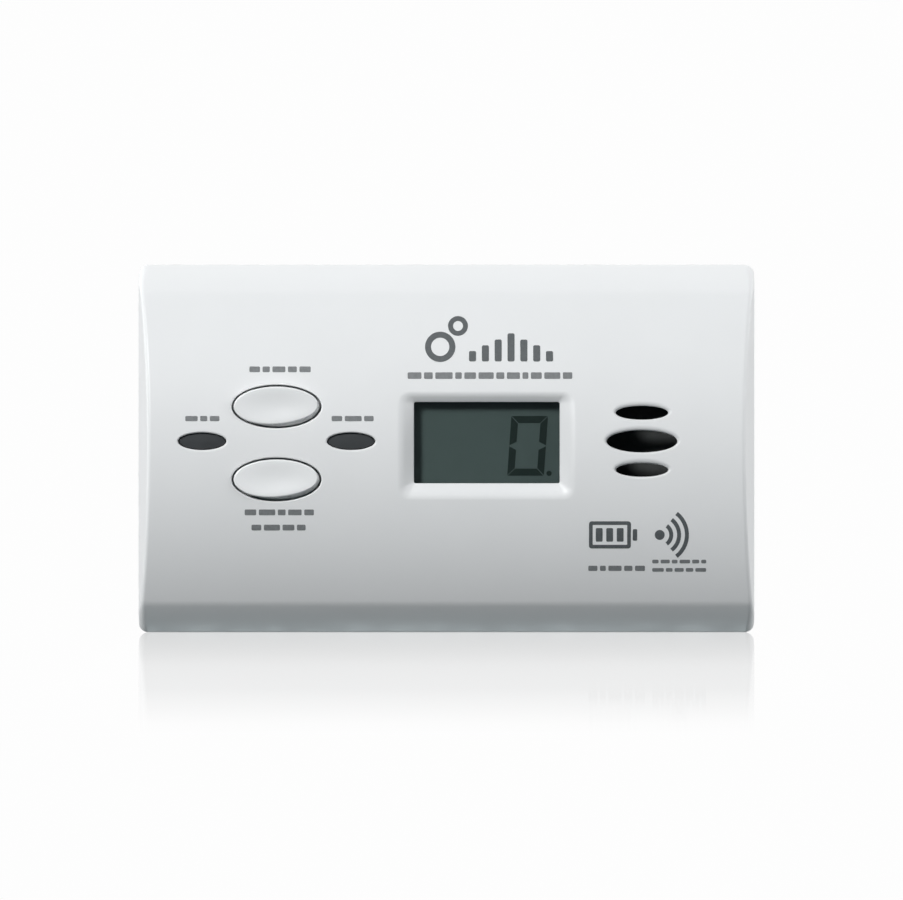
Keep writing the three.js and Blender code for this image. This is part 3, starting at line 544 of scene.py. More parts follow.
def side_lift(sign, inset):
    """Lifts (y, z) onto the right side, or the left where sign is negative, or onto its inner skin."""
    facing = -1 if inset else 1

    def lift(y, z):
        inward, slope = lean(y)
        angle = math.atan(slope)
        normal = Vector((sign * math.cos(angle), -math.sin(angle), 0)) * facing
        return Vector((sign * (WIDTH / 2 - inward - inset), y, z)), normal

    return lift


def face_lift(inset, facing):
    """Lifts (x, s) onto the outer face, or onto its inner skin."""

    def lift(x, s):
        y, z, ny, nz = profile(s, inset)
        return Vector((x, y, z)), Vector((0, ny, nz)) * facing

    return lift


def hole_loop(row, inset, facing):
    """An opening's outline on the outer face, or on its inner skin."""
    lift = face_lift(inset, facing)
    places = [(p, face_s(p.z, inset)) for p in row]
    return [(p.x, s, (p, lift(p.x, s)[1])) for p, s in places]


# spacing of the cover's points along its flat ends, its parting line, its face and its inner skin, and
# how far the face's own points stay from its openings
SPACING = {"ends": 4.0, "parting": 2.5, "face": 3.0, "skin": 6.0, "margin": 0.45}
SIDE_FRONT = -15  # the side's own points start here

EDGES = {s: edge_arc(s) for s in ROWS}
LOW_EDGE, TOP_EDGE = EDGES[ROWS[0]], EDGES[ROWS[-1]]
LOW_X = between(-LOW_EDGE[0][0].x, LOW_EDGE[0][0].x, SPACING["ends"])
TOP_X = between(TOP_EDGE[0][0].x, -TOP_EDGE[0][0].x, SPACING["ends"])
LOW_Z, TOP_Z = LOW_EDGE[-1][0].z, TOP_EDGE[-1][0].z
SIDE_Z = between(TOP_Z, LOW_Z, SPACING["parting"])
INNER_X = {s: WIDTH / 2 - lean(profile(s, SKIN)[0])[0] - SKIN for s in ROWS}
INNER_LOW_X = between(-INNER_X[ROWS[0]], INNER_X[ROWS[0]], SPACING["ends"])
INNER_TOP_X = between(INNER_X[ROWS[-1]], -INNER_X[ROWS[-1]], SPACING["ends"])
INNER_LOW_Z, INNER_TOP_Z = profile(ROWS[0], SKIN)[1], profile(ROWS[-1], SKIN)[1]
INNER_SIDE_Z = between(INNER_TOP_Z, INNER_LOW_Z, SPACING["parting"])


def symmetrical(right, top_x, low_x):
    """A loop from its right side, from the bottom up, and the x of the points along its two ends."""
    loop = right + [(x, right[-1][1]) for x in top_x]
    loop += [(-x, z) for x, z in reversed(right)]
    return [(x, z, None) for x, z in loop + [(x, right[0][1]) for x in low_x]]


def outer_face(surface, openings):
    right = [(EDGES[s][0][0].x, s, EDGES[s][0]) for s in ROWS]
    left = [(-x, s, mirrored(corner)) for x, s, corner in reversed(right)]
    loop = right + [(x, ROWS[-1], None) for x in TOP_X] + left + [(x, ROWS[0], None) for x in LOW_X]
    holes = [hole_loop(bands[0][0], 0, 1) for bands in openings]
    for bands, hole in zip(openings, holes):
        add_bands(surface, bands, [normal for _, _, (_, normal) in hole])
    grid = spaced_grid(ROWS, lambda s: EDGES[s][0][0].x, [loop] + holes, SPACING["face"])
    surface.fill([loop] + holes, grid, face_lift(0, 1))


def sides(surface):
    """The rounded side edges and the sides."""
    for s0, s1 in zip(ROWS, ROWS[1:]):
        surface.strip(EDGES[s0], EDGES[s1])
        surface.strip([mirrored(c) for c in EDGES[s0]], [mirrored(c) for c in EDGES[s1]])
    right = [EDGES[s][-1] for s in ROWS]
    bounds = [(p.y, p.z) for p, _ in right] + [(PARTING_Y, z) for z in SIDE_Z]
    rows = steps(LOW_Z + 1, TOP_Z - 1, SPACING["face"])
    grid = [(y, z) for y in steps(SIDE_FRONT, PARTING_Y - 1, 1.0) for z in rows]
    grid = [p for p in grid if within([bounds], *p, 0.5)]
    for sign, corners in ((1, right), (-1, [mirrored(c) for c in right])):
        loop = [(p.y, p.z, (p, n)) for p, n in corners] + [(PARTING_Y, z, None) for z in SIDE_Z]
        surface.fill([loop], grid, side_lift(sign, 0))


def inner_skin(surface, openings):
    loop = symmetrical([(INNER_X[s], s) for s in ROWS], INNER_TOP_X, INNER_LOW_X)
    holes = [hole_loop(bands[-1][-1], SKIN, -1) for bands in openings]
    grid = spaced_grid(ROWS[::2], lambda s: INNER_X[s], [loop] + holes, SPACING["skin"])
    surface.fill([loop] + holes, grid, face_lift(SKIN, -1))
    for sign in (1, -1):
        loop = [(*profile(s, SKIN)[:2], None) for s in ROWS]
        loop += [(PARTING_Y, z, None) for z in INNER_SIDE_Z]
        surface.fill([loop], [], side_lift(sign, SKIN))


def parting_rim(surface):
    """The flat rim that meets the rear housing."""
    low, top = [[(p.x, p.z) for p, _ in edge] for edge in (LOW_EDGE, TOP_EDGE)]
    right = low + [(WIDTH / 2, z) for z in reversed(SIDE_Z)] + top[::-1]
    outer = symmetrical(right, TOP_X, LOW_X)
    right = [(INNER_X[ROWS[-1]], z) for z in (INNER_LOW_Z, *reversed(INNER_SIDE_Z), INNER_TOP_Z)]
    inner = symmetrical(right, INNER_TOP_X, INNER_LOW_X)
    surface.fill([outer, inner], [], lambda x, z: (Vector((x, PARTING_Y, z)), -FRONT))


def front_cover():
    surface, openings = Surface(), cover_openings()
    outer_face(surface, openings)
    sides(surface)
    inner_skin(surface, openings)
    parting_rim(surface)
    return surface.make("front_cover_shell")


# ---- keys and lenses


def oval(centre, a, b, y, n):
    return placed(ellipse(centre.x, centre.z, a, b, n), lambda z: y)


def flanged_stem(centre, a, b, back_y, flange_y, n):
    """Bands of a round stem and the flange on it, from the back to the flange's front."""
    r, flange_end = FLANGE["stem_r"], flange_y + FLANGE["thick"]
    stem = [oval(centre, r, r, y, n) for y in (back_y, flange_end)]
    flange = [oval(centre, a, b, y, n) for y in (flange_end, flange_y)]
    return [stem, [stem[1], flange[0]], flange]


def key_cap(node):
    """An oval cap with a dished top, on its flange and stem. Its side slopes at the lower right."""
    c = middle(node)
    low, high = span(node)
    a, b = KEY["a"] + KEY["grow"], KEY["b"] + KEY["grow"]
    reach, n = KEY["flange_reach"], 96

    def cap_row(angle, q=1.0, sink=0.0):
        """A ring where the edge has turned by an angle, or a smaller ring inside it, sunk into the dish."""
        ring = []
        for i in range(n):
            t = 2 * math.pi * i / n
            slope = max(0, math.cos(t - math.radians(KEY["slope_side"]))) ** 1.5
            cut = KEY["slope"] * slope + KEY["edge"] * (1 - math.cos(angle))
            x, z = (a - cut) * math.cos(t) * q, (b - cut) * math.sin(t) * q
            ring.append(Vector((c.x + x, low.y + KEY["edge"] * (1 - math.sin(angle)) + sink, c.z + z)))
        return ring

    flange_y = high.y - KEY["flange_back"]
    bands = flanged_stem(c, a + reach, b + reach, high.y, flange_y, n)
    wall = [oval(c, a, b, y, n) for y in (flange_y, low.y + KEY["wall"])]
    top = [cap_row(UPRIGHT * k / 8) for k in range(9)]
    for k in range(1, 17):
        q = 1 - k / 17
        top.append(cap_row(UPRIGHT, q, KEY["dish"] * (1 - q * q) ** 2))
    bands += [[bands[-1][1], wall[0]], wall, [wall[1], top[0]], top]
    return closed_part(node + "_cap", bands, FRONT)


def lens_plug(node):
    """A smoked oval plug with a slightly domed, polished face, its flange and its light guide."""
    c = middle(node)
    low, high = span(node)
    a, b, r = LENS["a"] - LENS["fit"], LENS["b"] - LENS["fit"], LENS["edge"]
    reach, n = LENS["flange_reach"], 64
    flange_y = low.y + LENS["flange_front"]
    bands = flanged_stem(c, a + reach, b + reach, high.y, flange_y, n)
    top = []
    for k in range(6):
        angle = UPRIGHT * 0.8 * k / 5
        cut = r * (1 - math.cos(angle))
        y = low.y + LENS["crown"] + r * (1 - math.sin(angle))
        top.append(oval(c, a - cut, b - cut, y, n))
    rim_y = top[-1][0].y
    for k in range(1, 9):
        q = 1 - k / 9
        y = low.y + (rim_y - low.y) * q * q
        top.append(oval(c, (a - r) * q, (b - r) * q, y, n))
    wall = [oval(c, a, b, flange_y, n), top[0]]
    return closed_part(node + "_plug", bands + [[bands[-1][1], wall[0]], wall, top], FRONT)


# ---- materials


class Tree:
    """Adds nodes to a node tree. An input is given a value or another node's output."""

    def __init__(self, tree):
        self.tree = tree

    def node(self, kind, inputs=(), output=0, **settings):
        """Makes a node and returns one of its outputs, if it has any."""
        node = self.tree.nodes.new("ShaderNode" + kind)
        for name, value in settings.items():
            setattr(node, name, value)
        for socket, value in dict(inputs).items():
            if isinstance(value, bpy.types.NodeSocket):
                self.tree.links.new(value, node.inputs[socket])
            else:
                node.inputs[socket].default_value = value
        return node.outputs[output] if node.outputs else None

    def parts(self, coordinate):
        """The outputs X, Y and Z of a texture coordinate."""
        place = self.node("TexCoord", output=coordinate)
        return self.node("SeparateXYZ", {"Vector": place}).node.outputs

    def remap(self, source, low, high, start=0, end=1, **settings):
        """Runs from start to end while the source runs from low to high."""
        inputs = {"Value": source, "From Min": low, "From Max": high, "To Min": start, "To Max": end}
        return self.node("MapRange", inputs, **settings)

    def ramp(self, source, stops):
        """A colour for the source, from stops of a place and a colour."""
        color = self.node("ValToRGB", {"Fac": source})
        elements = color.node.color_ramp.elements
        while len(elements) < len(stops):
            elements.new(0.5)
        for element, (place, tone) in zip(elements, stops):
            element.position = place
            element.color = (*tone, 1)
        return color

    def math(self, operation, *terms):
        return self.node("Math", enumerate(terms), operation=operation)

    def mix(self, share, first, second):
        """Two shaders mixed, with the given share of the second."""
        return self.node("MixShader", {"Fac": share, 1: first, 2: second})


def cleared_tree(owner):
    """The empty node tree of a material or a world."""
    owner.use_nodes = True
    owner.node_tree.nodes.clear()
    return Tree(owner.node_tree)


NOISE = (0.3, 0.7)  # where nearly all of a noise's values lie
SHADER_INPUTS = (
    "Base Color", "Roughness", "Metallic", "Specular IOR Level", "Coat Weight", "Transmission Weight"
)


class Paint(Tree):
    """A node material around one Principled shader."""

    def __init__(self, name, color, roughness, metallic=0, specular=0.5, coat=0, clear=0):
        self.material = bpy.data.materials.new(name)
        self.material.use_nodes = True
        self.material.diffuse_color = (*color, 1)
        super().__init__(self.material.node_tree)
        self.shader, self.color = self.tree.nodes["Principled BSDF"], color
        values = (*color, 1), roughness, metallic, specular, coat, clear
        for socket, value in zip(SHADER_INPUTS, values):
            self.shader.inputs[socket].default_value = value
        self.place = self.node("TexCoord", output="Object")

    def drive(self, socket, source):
        self.tree.links.new(source, self.shader.inputs[socket])
        return self

    def noise(self, scale, detail, stretch=(1, 1, 1)):
        """Noise with about scale cells per metre."""
        place = self.node("Mapping", {"Vector": self.place, "Scale": stretch})
        return self.node("TexNoise", {"Vector": place, "Scale": scale, "Detail": detail}, "Fac")

    def mottle(self, scale, amount, stretch=(1, 1, 1)):
        """Slight colour changes of the base colour."""
        tones = [[min(c * (1 + change), 1) for c in self.color] for change in (-amount, amount)]
        return self.drive("Base Color", self.ramp(self.noise(scale, 4, stretch), list(zip(NOISE, tones))))

    def wear(self, scale, low, high, stretch=(1, 1, 1)):
        """Roughness that changes over the surface."""
        return self.drive("Roughness", self.remap(self.noise(scale, 4, stretch), *NOISE, low, high))

    def grain(self, scale, depth, detail=2):
        """A bump of the given depth in millimetres."""
        inputs = {"Strength": 1.0, "Distance": depth * MM, "Height": self.noise(scale, detail)}
        return self.drive("Normal", self.node("Bump", inputs))


def clear_sheet(name, tint, gloss):
    """A thin clear part: mostly see-through, with a faint mirror on its face."""
    paint = Paint(name, (0.9, 0.92, 0.91), 0.05)
    smears = paint.ramp(paint.noise(300, 3), [(NOISE[0], (0.03,) * 3), (NOISE[1], (0.07,) * 3)])
    clear = paint.node("BsdfTransparent", {"Color": (*tint, 1)})
    mirror = paint.node("BsdfGlossy", {"Roughness": smears})
    sheet = paint.mix(gloss, clear, mirror)
    paint.tree.links.new(sheet, paint.tree.nodes["Material Output"].inputs["Surface"])
    paint.tree.nodes.remove(paint.shader)
    return paint


# one for each slot of the record, and a few for the new pieces
PAINTS = {
    "white_case": Paint("satin_white_abs", (0.80, 0.807, 0.812), 0.42, specular=0.42)
    .mottle(90, 0.006).wear(160, 0.38, 0.47).grain(5200, 0.006),
    "white_keys": Paint("smooth_white_abs", (0.85, 0.858, 0.862), 0.3)
    .mottle(200, 0.006).wear(240, 0.26, 0.36).grain(3000, 0.002),
    "holder_plastic": Paint("holder_abs", (0.74, 0.75, 0.76), 0.5)
    .mottle(150, 0.01).wear(200, 0.45, 0.58).grain(3800, 0.008),
    "smoked_lens": Paint("smoked_acrylic", (0.054, 0.057, 0.06), 0.08)
    .mottle(260, 0.08).wear(300, 0.05, 0.12).grain(500, 0.002),
    "clear_window": clear_sheet("clear_acrylic", (0.97, 0.985, 0.98), 0.03),
    "lcd_front": clear_sheet("display_front_glass", (0.9, 0.94, 0.92), 0.02),
    "lcd_glass": Paint("display_rear_glass", (0.108, 0.12, 0.127), 0.6, specular=0.2)
    .mottle(400, 0.012).wear(300, 0.55, 0.65).grain(9000, 0.001),
    "segment": Paint("display_segment", (0.013, 0.02, 0.019), 0.6, specular=0.2)
    .mottle(900, 0.05).wear(400, 0.55, 0.65),
    "lcd_reflector": Paint("display_reflector", (0.55, 0.6, 0.59), 0.5, metallic=0.8)
    .mottle(300, 0.03).wear(500, 0.4, 0.6).grain(6000, 0.002),
    "label_film": Paint("label_film", (0.60, 0.61, 0.615), 0.32, metallic=0.35)
    .mottle(60, 0.03).wear(90, 0.28, 0.38).grain(700, 0.003),
    "contact_rubber": Paint("silicone_strip", (0.33, 0.36, 0.37), 0.6)
    .mottle(700, 0.25, (3, 1, 0.2)).wear(300, 0.5, 0.7).grain(2500, 0.01),
    "circuit_board": Paint("solder_mask", (0.018, 0.13, 0.05), 0.28, coat=0.3)
    .mottle(120, 0.3).wear(90, 0.22, 0.4).grain(900, 0.015),
    "black_plastic": Paint("black_abs", (0.018, 0.018, 0.02), 0.5)
    .mottle(200, 0.15).wear(200, 0.42, 0.6).grain(3200, 0.01),
    "switch_plunger": Paint("plunger_nylon", (0.05, 0.05, 0.055), 0.42)
    .mottle(300, 0.12).wear(300, 0.36, 0.5).grain(3500, 0.006),
    "capacitor_sleeve": Paint("capacitor_sleeve", (0.02, 0.025, 0.045), 0.25, coat=0.4)
    .mottle(200, 0.15).wear(200, 0.2, 0.34).grain(900, 0.01),
    "foam": Paint("foam_ring", (0.03, 0.03, 0.03), 0.9)
    .mottle(1500, 0.5).wear(900, 0.8, 1.0).grain(2600, 0.12, 4),
    "red_lamp": Paint("red_epoxy", (0.55, 0.02, 0.03), 0.15, clear=0.3)
    .mottle(300, 0.08).wear(300, 0.1, 0.2),
    "green_lamp": Paint("green_epoxy", (0.03, 0.4, 0.1), 0.15, clear=0.3)
    .mottle(300, 0.08).wear(300, 0.1, 0.2),
    "brass": Paint("rolled_brass", (0.62, 0.45, 0.19), 0.3, metallic=1)
    .mottle(350, 0.12, (1, 1, 6)).wear(500, 0.22, 0.42, (1, 1, 10)).grain(1500, 0.004),
    # the piezo disc's brass painted near black: painted shade for the dark inside of the sounder slots
    "brass_painted_shade": Paint("brass_painted_shade", (0.045, 0.048, 0.048), 0.7, specular=0.2)
    .mottle(400, 0.1).wear(500, 0.62, 0.8).grain(1500, 0.004),
    "copper_wire": Paint("copper_wire", (0.62, 0.27, 0.12), 0.28, metallic=1)
    .mottle(900, 0.2, (1, 1, 5)).wear(600, 0.2, 0.4).grain(3000, 0.02),
    "piezo_ceramic": Paint("piezo_ceramic", (0.72, 0.7, 0.62), 0.4)
    .mottle(500, 0.06).wear(500, 0.3, 0.5).grain(2500, 0.004),
    "red_wire": Paint("red_insulation", (0.42, 0.02, 0.02), 0.4)
    .mottle(500, 0.1).wear(500, 0.35, 0.5).grain(2500, 0.006),
    "black_wire": Paint("black_insulation", (0.016, 0.016, 0.017), 0.42)
    .mottle(500, 0.2).wear(500, 0.36, 0.5).grain(2500, 0.006),
    "sensor_body": Paint("sensor_nylon", (0.7, 0.7, 0.66), 0.5)
    .mottle(150, 0.02).wear(200, 0.42, 0.6).grain(3000, 0.01),
    "nickel": Paint("nickel_plate", (0.66, 0.64, 0.59), 0.25, metallic=1)
    .mottle(400, 0.06).wear(600, 0.18, 0.36, (1, 1, 8)).grain(1800, 0.003),
    "battery_jacket": Paint("cell_jacket_dark", (0.03, 0.045, 0.065), 0.28, metallic=0.55, coat=0.6)
    .mottle(120, 0.08).wear(160, 0.22, 0.34, (1, 8, 8)).grain(700, 0.004),
    "battery_band": Paint("cell_jacket_bright", (0.62, 0.64, 0.66), 0.26, metallic=0.9, coat=0.6)
    .mottle(120, 0.05).wear(160, 0.2, 0.32, (1, 8, 8)).grain(700, 0.004),
    "screw_steel": Paint("zinc_steel", (0.55, 0.56, 0.57), 0.33, metallic=1)
    .mottle(700, 0.08).wear(900, 0.25, 0.45).grain(2200, 0.006),
    "ink": Paint("pad_ink", (0.095, 0.105, 0.11), 0.5)
    .mottle(1800, 0.12).wear(700, 0.45, 0.58).grain(5200, 0.004),
    "caption_ink": Paint("caption_ink", (0.19, 0.2, 0.205), 0.5)
    .mottle(1800, 0.12).wear(700, 0.45, 0.58).grain(5200, 0.004),
}
MATERIALS = {name: paint.material for name, paint in PAINTS.items()}

# the piezo disc takes the near-black brass, painted shade for the sounder slots' dark inside
CAD_FINISH = {"piezo_disc": "brass_painted_shade"}  # where a CAD node's look isn't its slot's


def coat(piece, *names):
    piece.data.materials.clear()
    for name in names:
        piece.data.materials.append(MATERIALS[name])


def stand_in(piece, body, slot, *nodes, finish=None):
    """A finished piece that stands for CAD nodes and moves with their body."""
    coat(piece, finish or slot)
    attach(piece, body)
    if nodes:
        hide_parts(*nodes)
    return piece


# ---- turned parts and cells


def rounded_path(corners, r, count=4):
    """A path of (along, radius) corners with each inner corner rounded."""
    corners = [Vector(c) for c in corners]
    path = corners[:1]
    for before, corner, after in zip(corners, corners[1:], corners[2:]):
        ways = (before - corner, after - corner)
        start, end = [corner + way.normalized() * min(r, way.length / 2) for way in ways]
        path += [bent(start, corner, end, i / count) for i in range(count + 1)]
    return path + corners[-1:]


def turned_rows(base, axis, corners, r, n):
    """Rings about an axis through base, for a profile that runs from the base's middle outwards."""
    across = axis.orthogonal().normalized()
    third = axis.cross(across)
    turns = [2 * math.pi * i / n for i in range(n)]
    rows = []
    for along, radius in rounded_path(corners, r):
        centre = base + axis * along
        rows.append([centre + across * math.cos(a) * radius + third * math.sin(a) * radius for a in turns])
    return rows


CELL = {"nub_r": 2.7, "nub": 1.2, "band": 13.0, "crimp": 0.85, "edge_r": 0.22}


def battery(node, nub_side):
    """A cylindrical cell: wrapped jacket with a band at its positive end, curled ends, nub and base disc."""
    low, high = span(node)
    r, length = (high.z - low.z) / 2, high.x - low.x
    axis = Vector((nub_side, 0, 0))
    flat_end = middle(node) - axis * length / 2
    can, nub_r = length - CELL["nub"], CELL["nub_r"]
    corners = [
        (0.25, 0.5), (0.25, r - 1.9), (0.02, r - 1.6), (0.02, r - 1.0), (0.35, r - 0.75), (0.3, r - 0.15),
        (0.8, r), (can - 0.9, r), (can - 0.25, r - 0.2), (can - 0.25, r - 0.7), (can - 0.55, r - 0.95),
        (can - 0.55, r - 1.5), (can - 0.3, r - 1.8), (can - 0.1, nub_r + 0.5),
        (can, nub_r), (length - 0.25, nub_r - 0.1), (length, nub_r - 0.5), (length, 0.4),
    ]
    cell = closed_part(node + "_cell", [turned_rows(flat_end, axis, corners, CELL["edge_r"], 72)], axis)
    stand_in(cell, CASE, "battery_jacket", node)
    coat(cell, "battery_jacket", "battery_band", "nickel")
    for polygon in cell.data.polygons:
        place = polygon.center / MM - flat_end
        along = place.dot(axis)
        out = (place - axis * along).length
        if out < r - CELL["crimp"]:
            polygon.material_index = 2
        elif can - CELL["band"] < along:
            polygon.material_index = 1


# ---- display

DIGIT = {"w": 7.0, "h": 11.4, "stroke": 1.35, "slant": 0.07, "gap": 0.1, "right": 3.9, "down": 6.3}
POINT = {"r": 0.5, "gap": 1.0, "up": 0.45}
SEGMENTS = {"front": 0.06, "back": 0.02, "pane": 0.08}  # depths in front of the rear glass


def plate(name, shapes, y0, y1):
    """A flat part from shapes in x and z. Each is a list of outlines: the rim first, then its holes."""
    surface = Surface()
    for loops in shapes:
        add_sheet(surface, loops, [], lambda z: (y0, -1, 0), lambda z: (y1, -1, 0))
    return surface.make(name)


def digit_bars(x, z):
    """The lit segments of a zero whose lower left corner is at x, z, as outlines."""
    w, h, t, gap = DIGIT["w"], DIGIT["h"], DIGIT["stroke"], DIGIT["gap"]
    left = [(0, gap), (t, gap + t), (t, h / 2 - gap - t / 2), (0, h / 2 - gap)]
    right = [(w - u, v) for u, v in reversed(left)]
    bars = [[(gap, 0), (w - gap, 0), (w - t - gap, t), (t + gap, t)], left, right]
    bars += [[(u, h - v) for u, v in reversed(bar)] for bar in bars]
    return [[(x + u + DIGIT["slant"] * v, z + v) for u, v in bar] for bar in bars]


def display():
    """The display's front glass, the window's pane and the figure behind them."""
    low, high = span("lcd_front_glass")
    rear_y = span("lcd_rear_glass")[0].y
    rim = rounded_rect(low.x, high.x, low.z, high.z, 0.3, 4, 2)
    front = plate("display_front_pane", [[rim]], low.y, rear_y - SEGMENTS["pane"])
    stand_in(front, CASE, "lcd_glass", "lcd_front_glass", finish="lcd_front")
    low, high = span("display_window")
    rim = rounded_rect(low.x, high.x, low.z, high.z, 0.8, 5, 2)
    pane = plate("display_window_pane", [[rim]], low.y, high.y)
    stand_in(pane, CASE, "clear_window", "display_window")
    centre = middle("display_window")
    x, z = centre.x + DIGIT["right"], centre.z - DIGIT["down"]
    point = ellipse(x + DIGIT["w"] + POINT["gap"], z + POINT["up"], POINT["r"], POINT["r"], 20)
    shapes = [[outline] for outline in digit_bars(x, z) + [point]]
    figure = plate("display_digit_zero", shapes, rear_y - SEGMENTS["front"], rear_y - SEGMENTS["back"])
    stand_in(figure, CASE, "lcd_glass", finish="segment")


# ---- printed marks

# how far ink stands out and reaches in, the spacing of its own points and their distance from its edge
INK = {"proud": 0.03, "sunk": 0.01, "step": 1.2, "clear": 0.25}


def print_mark(name, shapes, ink):
    """Thin ink on the face, from shapes like those of a plate."""

    def on_face(depth):
        return lambda z: (face_y(z) + depth, *profile(face_s(z))[2:])

    surface = Surface()
    for loops in shapes:
        us, vs = [u for u, _ in loops[0]], [v for _, v in loops[0]]
        columns, rows = between(min(us), max(us), INK["step"]), between(min(vs), max(vs), INK["step"])
        inside = [(u, v) for u in columns for v in rows if within(loops, u, v, INK["clear"])]
        add_sheet(surface, loops, inside, on_face(-INK["proud"]), on_face(INK["sunk"]))
    mark = surface.make(name)
    coat(mark, ink)
    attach(mark, CASE)


def bar(x0, x1, z0, z1, r=0.12):
    """Outline of a bar with rounded corners and a point about every 0.8 mm."""
    return rounded_rect(x0, x1, z0, z1, r, 3, max(2, math.ceil(max(x1 - x0, z1 - z0) / 0.8)))


def arc_band(x, z, r0, r1, start, end):
    """Outline of a curved stroke, between two radii and two angles in degrees."""
    angles = [math.radians(a) for a in steps(start, end, 8)]
    return arc_points(x, z, r1, r1, angles) + arc_points(x, z, r0, r0, angles[::-1])


def dashes(x0, x1, z, height, lengths, gap=0.5):
    """A row of short dashes that fills x0 to x1; lengths are relative."""
    scale = (x1 - x0 - gap * (len(lengths) - 1)) / sum(lengths)
    shapes, x = [], x0
    for length in lengths:
        shapes.append([bar(x, x + length * scale, z - height / 2, z + height / 2, 0.2)])
        x += length * scale + gap
    return shapes


def emblem(x, z):
    """Two rings of unlike size, for a gas molecule."""
    big, small = (x - 1.2, z - 1.1), (x + 2.2, z + 2.9)
    return [
        [ellipse(*big, 2.9, 2.9, 56), ellipse(*big, 1.75, 1.75, 40)],
        [ellipse(*small, 1.9, 1.9, 40), ellipse(*small, 0.95, 0.95, 28)],
    ]


def level_bars(x, z, width=1.35, pitch=2.45):
    """A row of bars that grow towards the middle."""
    heights = (2.0, 3.1, 4.2, 5.4, 4.2, 3.1, 2.0)
    return [[bar(x + pitch * i, x + pitch * i + width, z, z + h, 0.3)] for i, h in enumerate(heights)]


def battery_sign(x, z, wall=0.7):
    """A battery seen from the side, with three bars of charge."""
    left, right, half = x - 4.6, x + 3.4, 2.6
    inside = bar(left + wall, right - wall, z - half + wall, z + half - wall)
    body, nub = bar(left, right, z - half, z + half, 0.5), bar(x + 3.75, x + 4.6, z - 1.1, z + 1.1, 0.2)
    charge = [[bar(x - 3.3 + 2 * i, x - 2 + 2 * i, z - 1.3, z + 1.3, 0.2)] for i in range(3)]
    return [[body, inside], [nub]] + charge


def sound_sign(x, z, half=0.38, spread=52):
    """Three arcs around a dot."""
    x -= 2.2
    waves = [[arc_band(x, z, r - half, r + half, -spread, spread)] for r in (2.2, 3.7, 5.2)]
    return [[ellipse(x, z, 0.95, 0.95, 28)]] + waves


# each sign's place, from the middle of the display window
SIGNS = {
    "mark_emblem": (emblem, -7.7, 19.4),
    "mark_level_bars": (level_bars, -3.4, 15.5),
    "mark_battery": (battery_sign, 24.1, -17.6),
    "mark_sound": (sound_sign, 35.2, -17.6),
}

# each caption's node, then for each row its start, end and height from the node's middle, the height of
# its dashes, their relative lengths and, where it isn't 0.5, the gap between them
CAPTIONS = {
    "mark_caption": (
        "display_window",
        (-15.1, 16.3, 12.8, 1.25, (1.9, 1.2, 2.4, 0.9, 1.6, 2.1, 1.1, 1.8, 0.8, 1.5, 2.2, 1.3)),
    ),
    "mark_test": ("test_button", (-5.2, 6.5, 7.1, 1.1, (1.3, 0.9, 1.6, 1.1, 1.4))),
    "mark_alarm": ("alarm_lens", (-3.2, 3.3, 4.35, 1.0, (1.4, 0.8, 1.1))),
    "mark_power": ("power_lens", (-3.7, 4.3, 4.35, 1.0, (1.0, 1.6, 0.9))),
    "mark_peak": (
        "peak_button",
        (-6.1, 7.1, -6.3, 1.1, (1.2, 1.7, 0.8, 1.4, 1.0)),
        (-4.8, 5.5, -9.2, 1.1, (0.9, 1.5, 1.1, 0.8)),
    ),
    "mark_note_left": ("display_window", (19.4, 30.2, -24.0, 1.0, (1.1, 0.7, 1.6, 1.0, 1.2))),
    "mark_note_right": (
        "display_window",
        (31.6, 41.9, -22.7, 0.7, (0.9, 1.3, 0.8, 1.5, 1.0, 0.7), 0.4),
        (31.6, 41.9, -24.3, 0.7, (1.4, 0.8, 1.1, 0.9, 1.3), 0.4),
    ),
}


def printed_marks():
    window = middle("display_window")
    for name, (draw, right, up) in SIGNS.items():
        print_mark(name, draw(window.x + right, window.z + up), "ink")
    for name, (node, *rows) in CAPTIONS.items():
        c, shapes = middle(node), []
        for start, end, up, *rest in rows:
            shapes += dashes(c.x + start, c.x + end, c.z + up, *rest)
        print_mark(name, shapes, "caption_ink")


# ---- camera, floor and light

VIEW = {"distance": 2.5, "width": 0.1722, "offset": 0.00096, "drop": 0.0003}
WHITE = (0.985, 0.985, 0.985)

# each light's direction from the object, distance and size in metres, power and colour
LIGHTS = {
    "key_light": ((-0.46, -0.77, 0.46), 2.4, 0.6, 53.0, (1, 1, 1)),
    "fill_light": ((0.85, -0.45, 0.25), 1.2, 0.5, 3.2, (1, 1, 1)),
    "under_light": ((0.0, 0.5, -0.87), 1.2, 0.3, 2.5, (0.9, 1, 1.03)),
}

# the room's light by direction: dim in front and white behind, with a bright panel on each side
ROOM = {"dim": (0.07, 0.088, 0.098), "dim_to": -0.15, "white_from": 0.55}
PANELS = {"left": 3.8, "right": 5.2, "start": 0.7, "end": 0.86, "behind": 0.25}

# share of the mirror image along the floor, from 0.9 m in front of the object to its middle
MIRROR_FADE = ((0.0, 0.0), (0.07, 0.02), (0.18, 0.12), (0.34, 0.24), (0.65, 0.27), (0.97, 0.4))


def aim(piece, direction):
    """Turns a light or camera to look along a direction."""
    piece.rotation_euler = Vector(direction).to_track_quat("-Z", "Y").to_euler()


def area_light(name, direction, distance, size, power, color):
    light = bpy.data.lights.new(name, "AREA")
    light.shape, light.size, light.energy, light.color = "DISK", size, power, color
    lamp = add(name, light)
    direction = Vector(direction).normalized()
    lamp.location = Vector((0, 0, MID_Z * MM)) + direction * distance
    aim(lamp, -direction)
    lamp.visible_camera = False


def camera():
    data = bpy.data.cameras.new("camera")
    eye = add("camera", data)
    centre = (COVER_LOW + COVER_HIGH) / 2 * MM
    eye.location = (centre.x + VIEW["offset"], -VIEW["distance"], centre.z - VIEW["drop"])
    aim(eye, (0, 1, 0))
    data.sensor_width = 36
    reach = VIEW["distance"] + FACE_Y * MM
    data.lens = data.sensor_width * reach / VIEW["width"]
    data.clip_end = 100
    bpy.context.scene.camera = eye


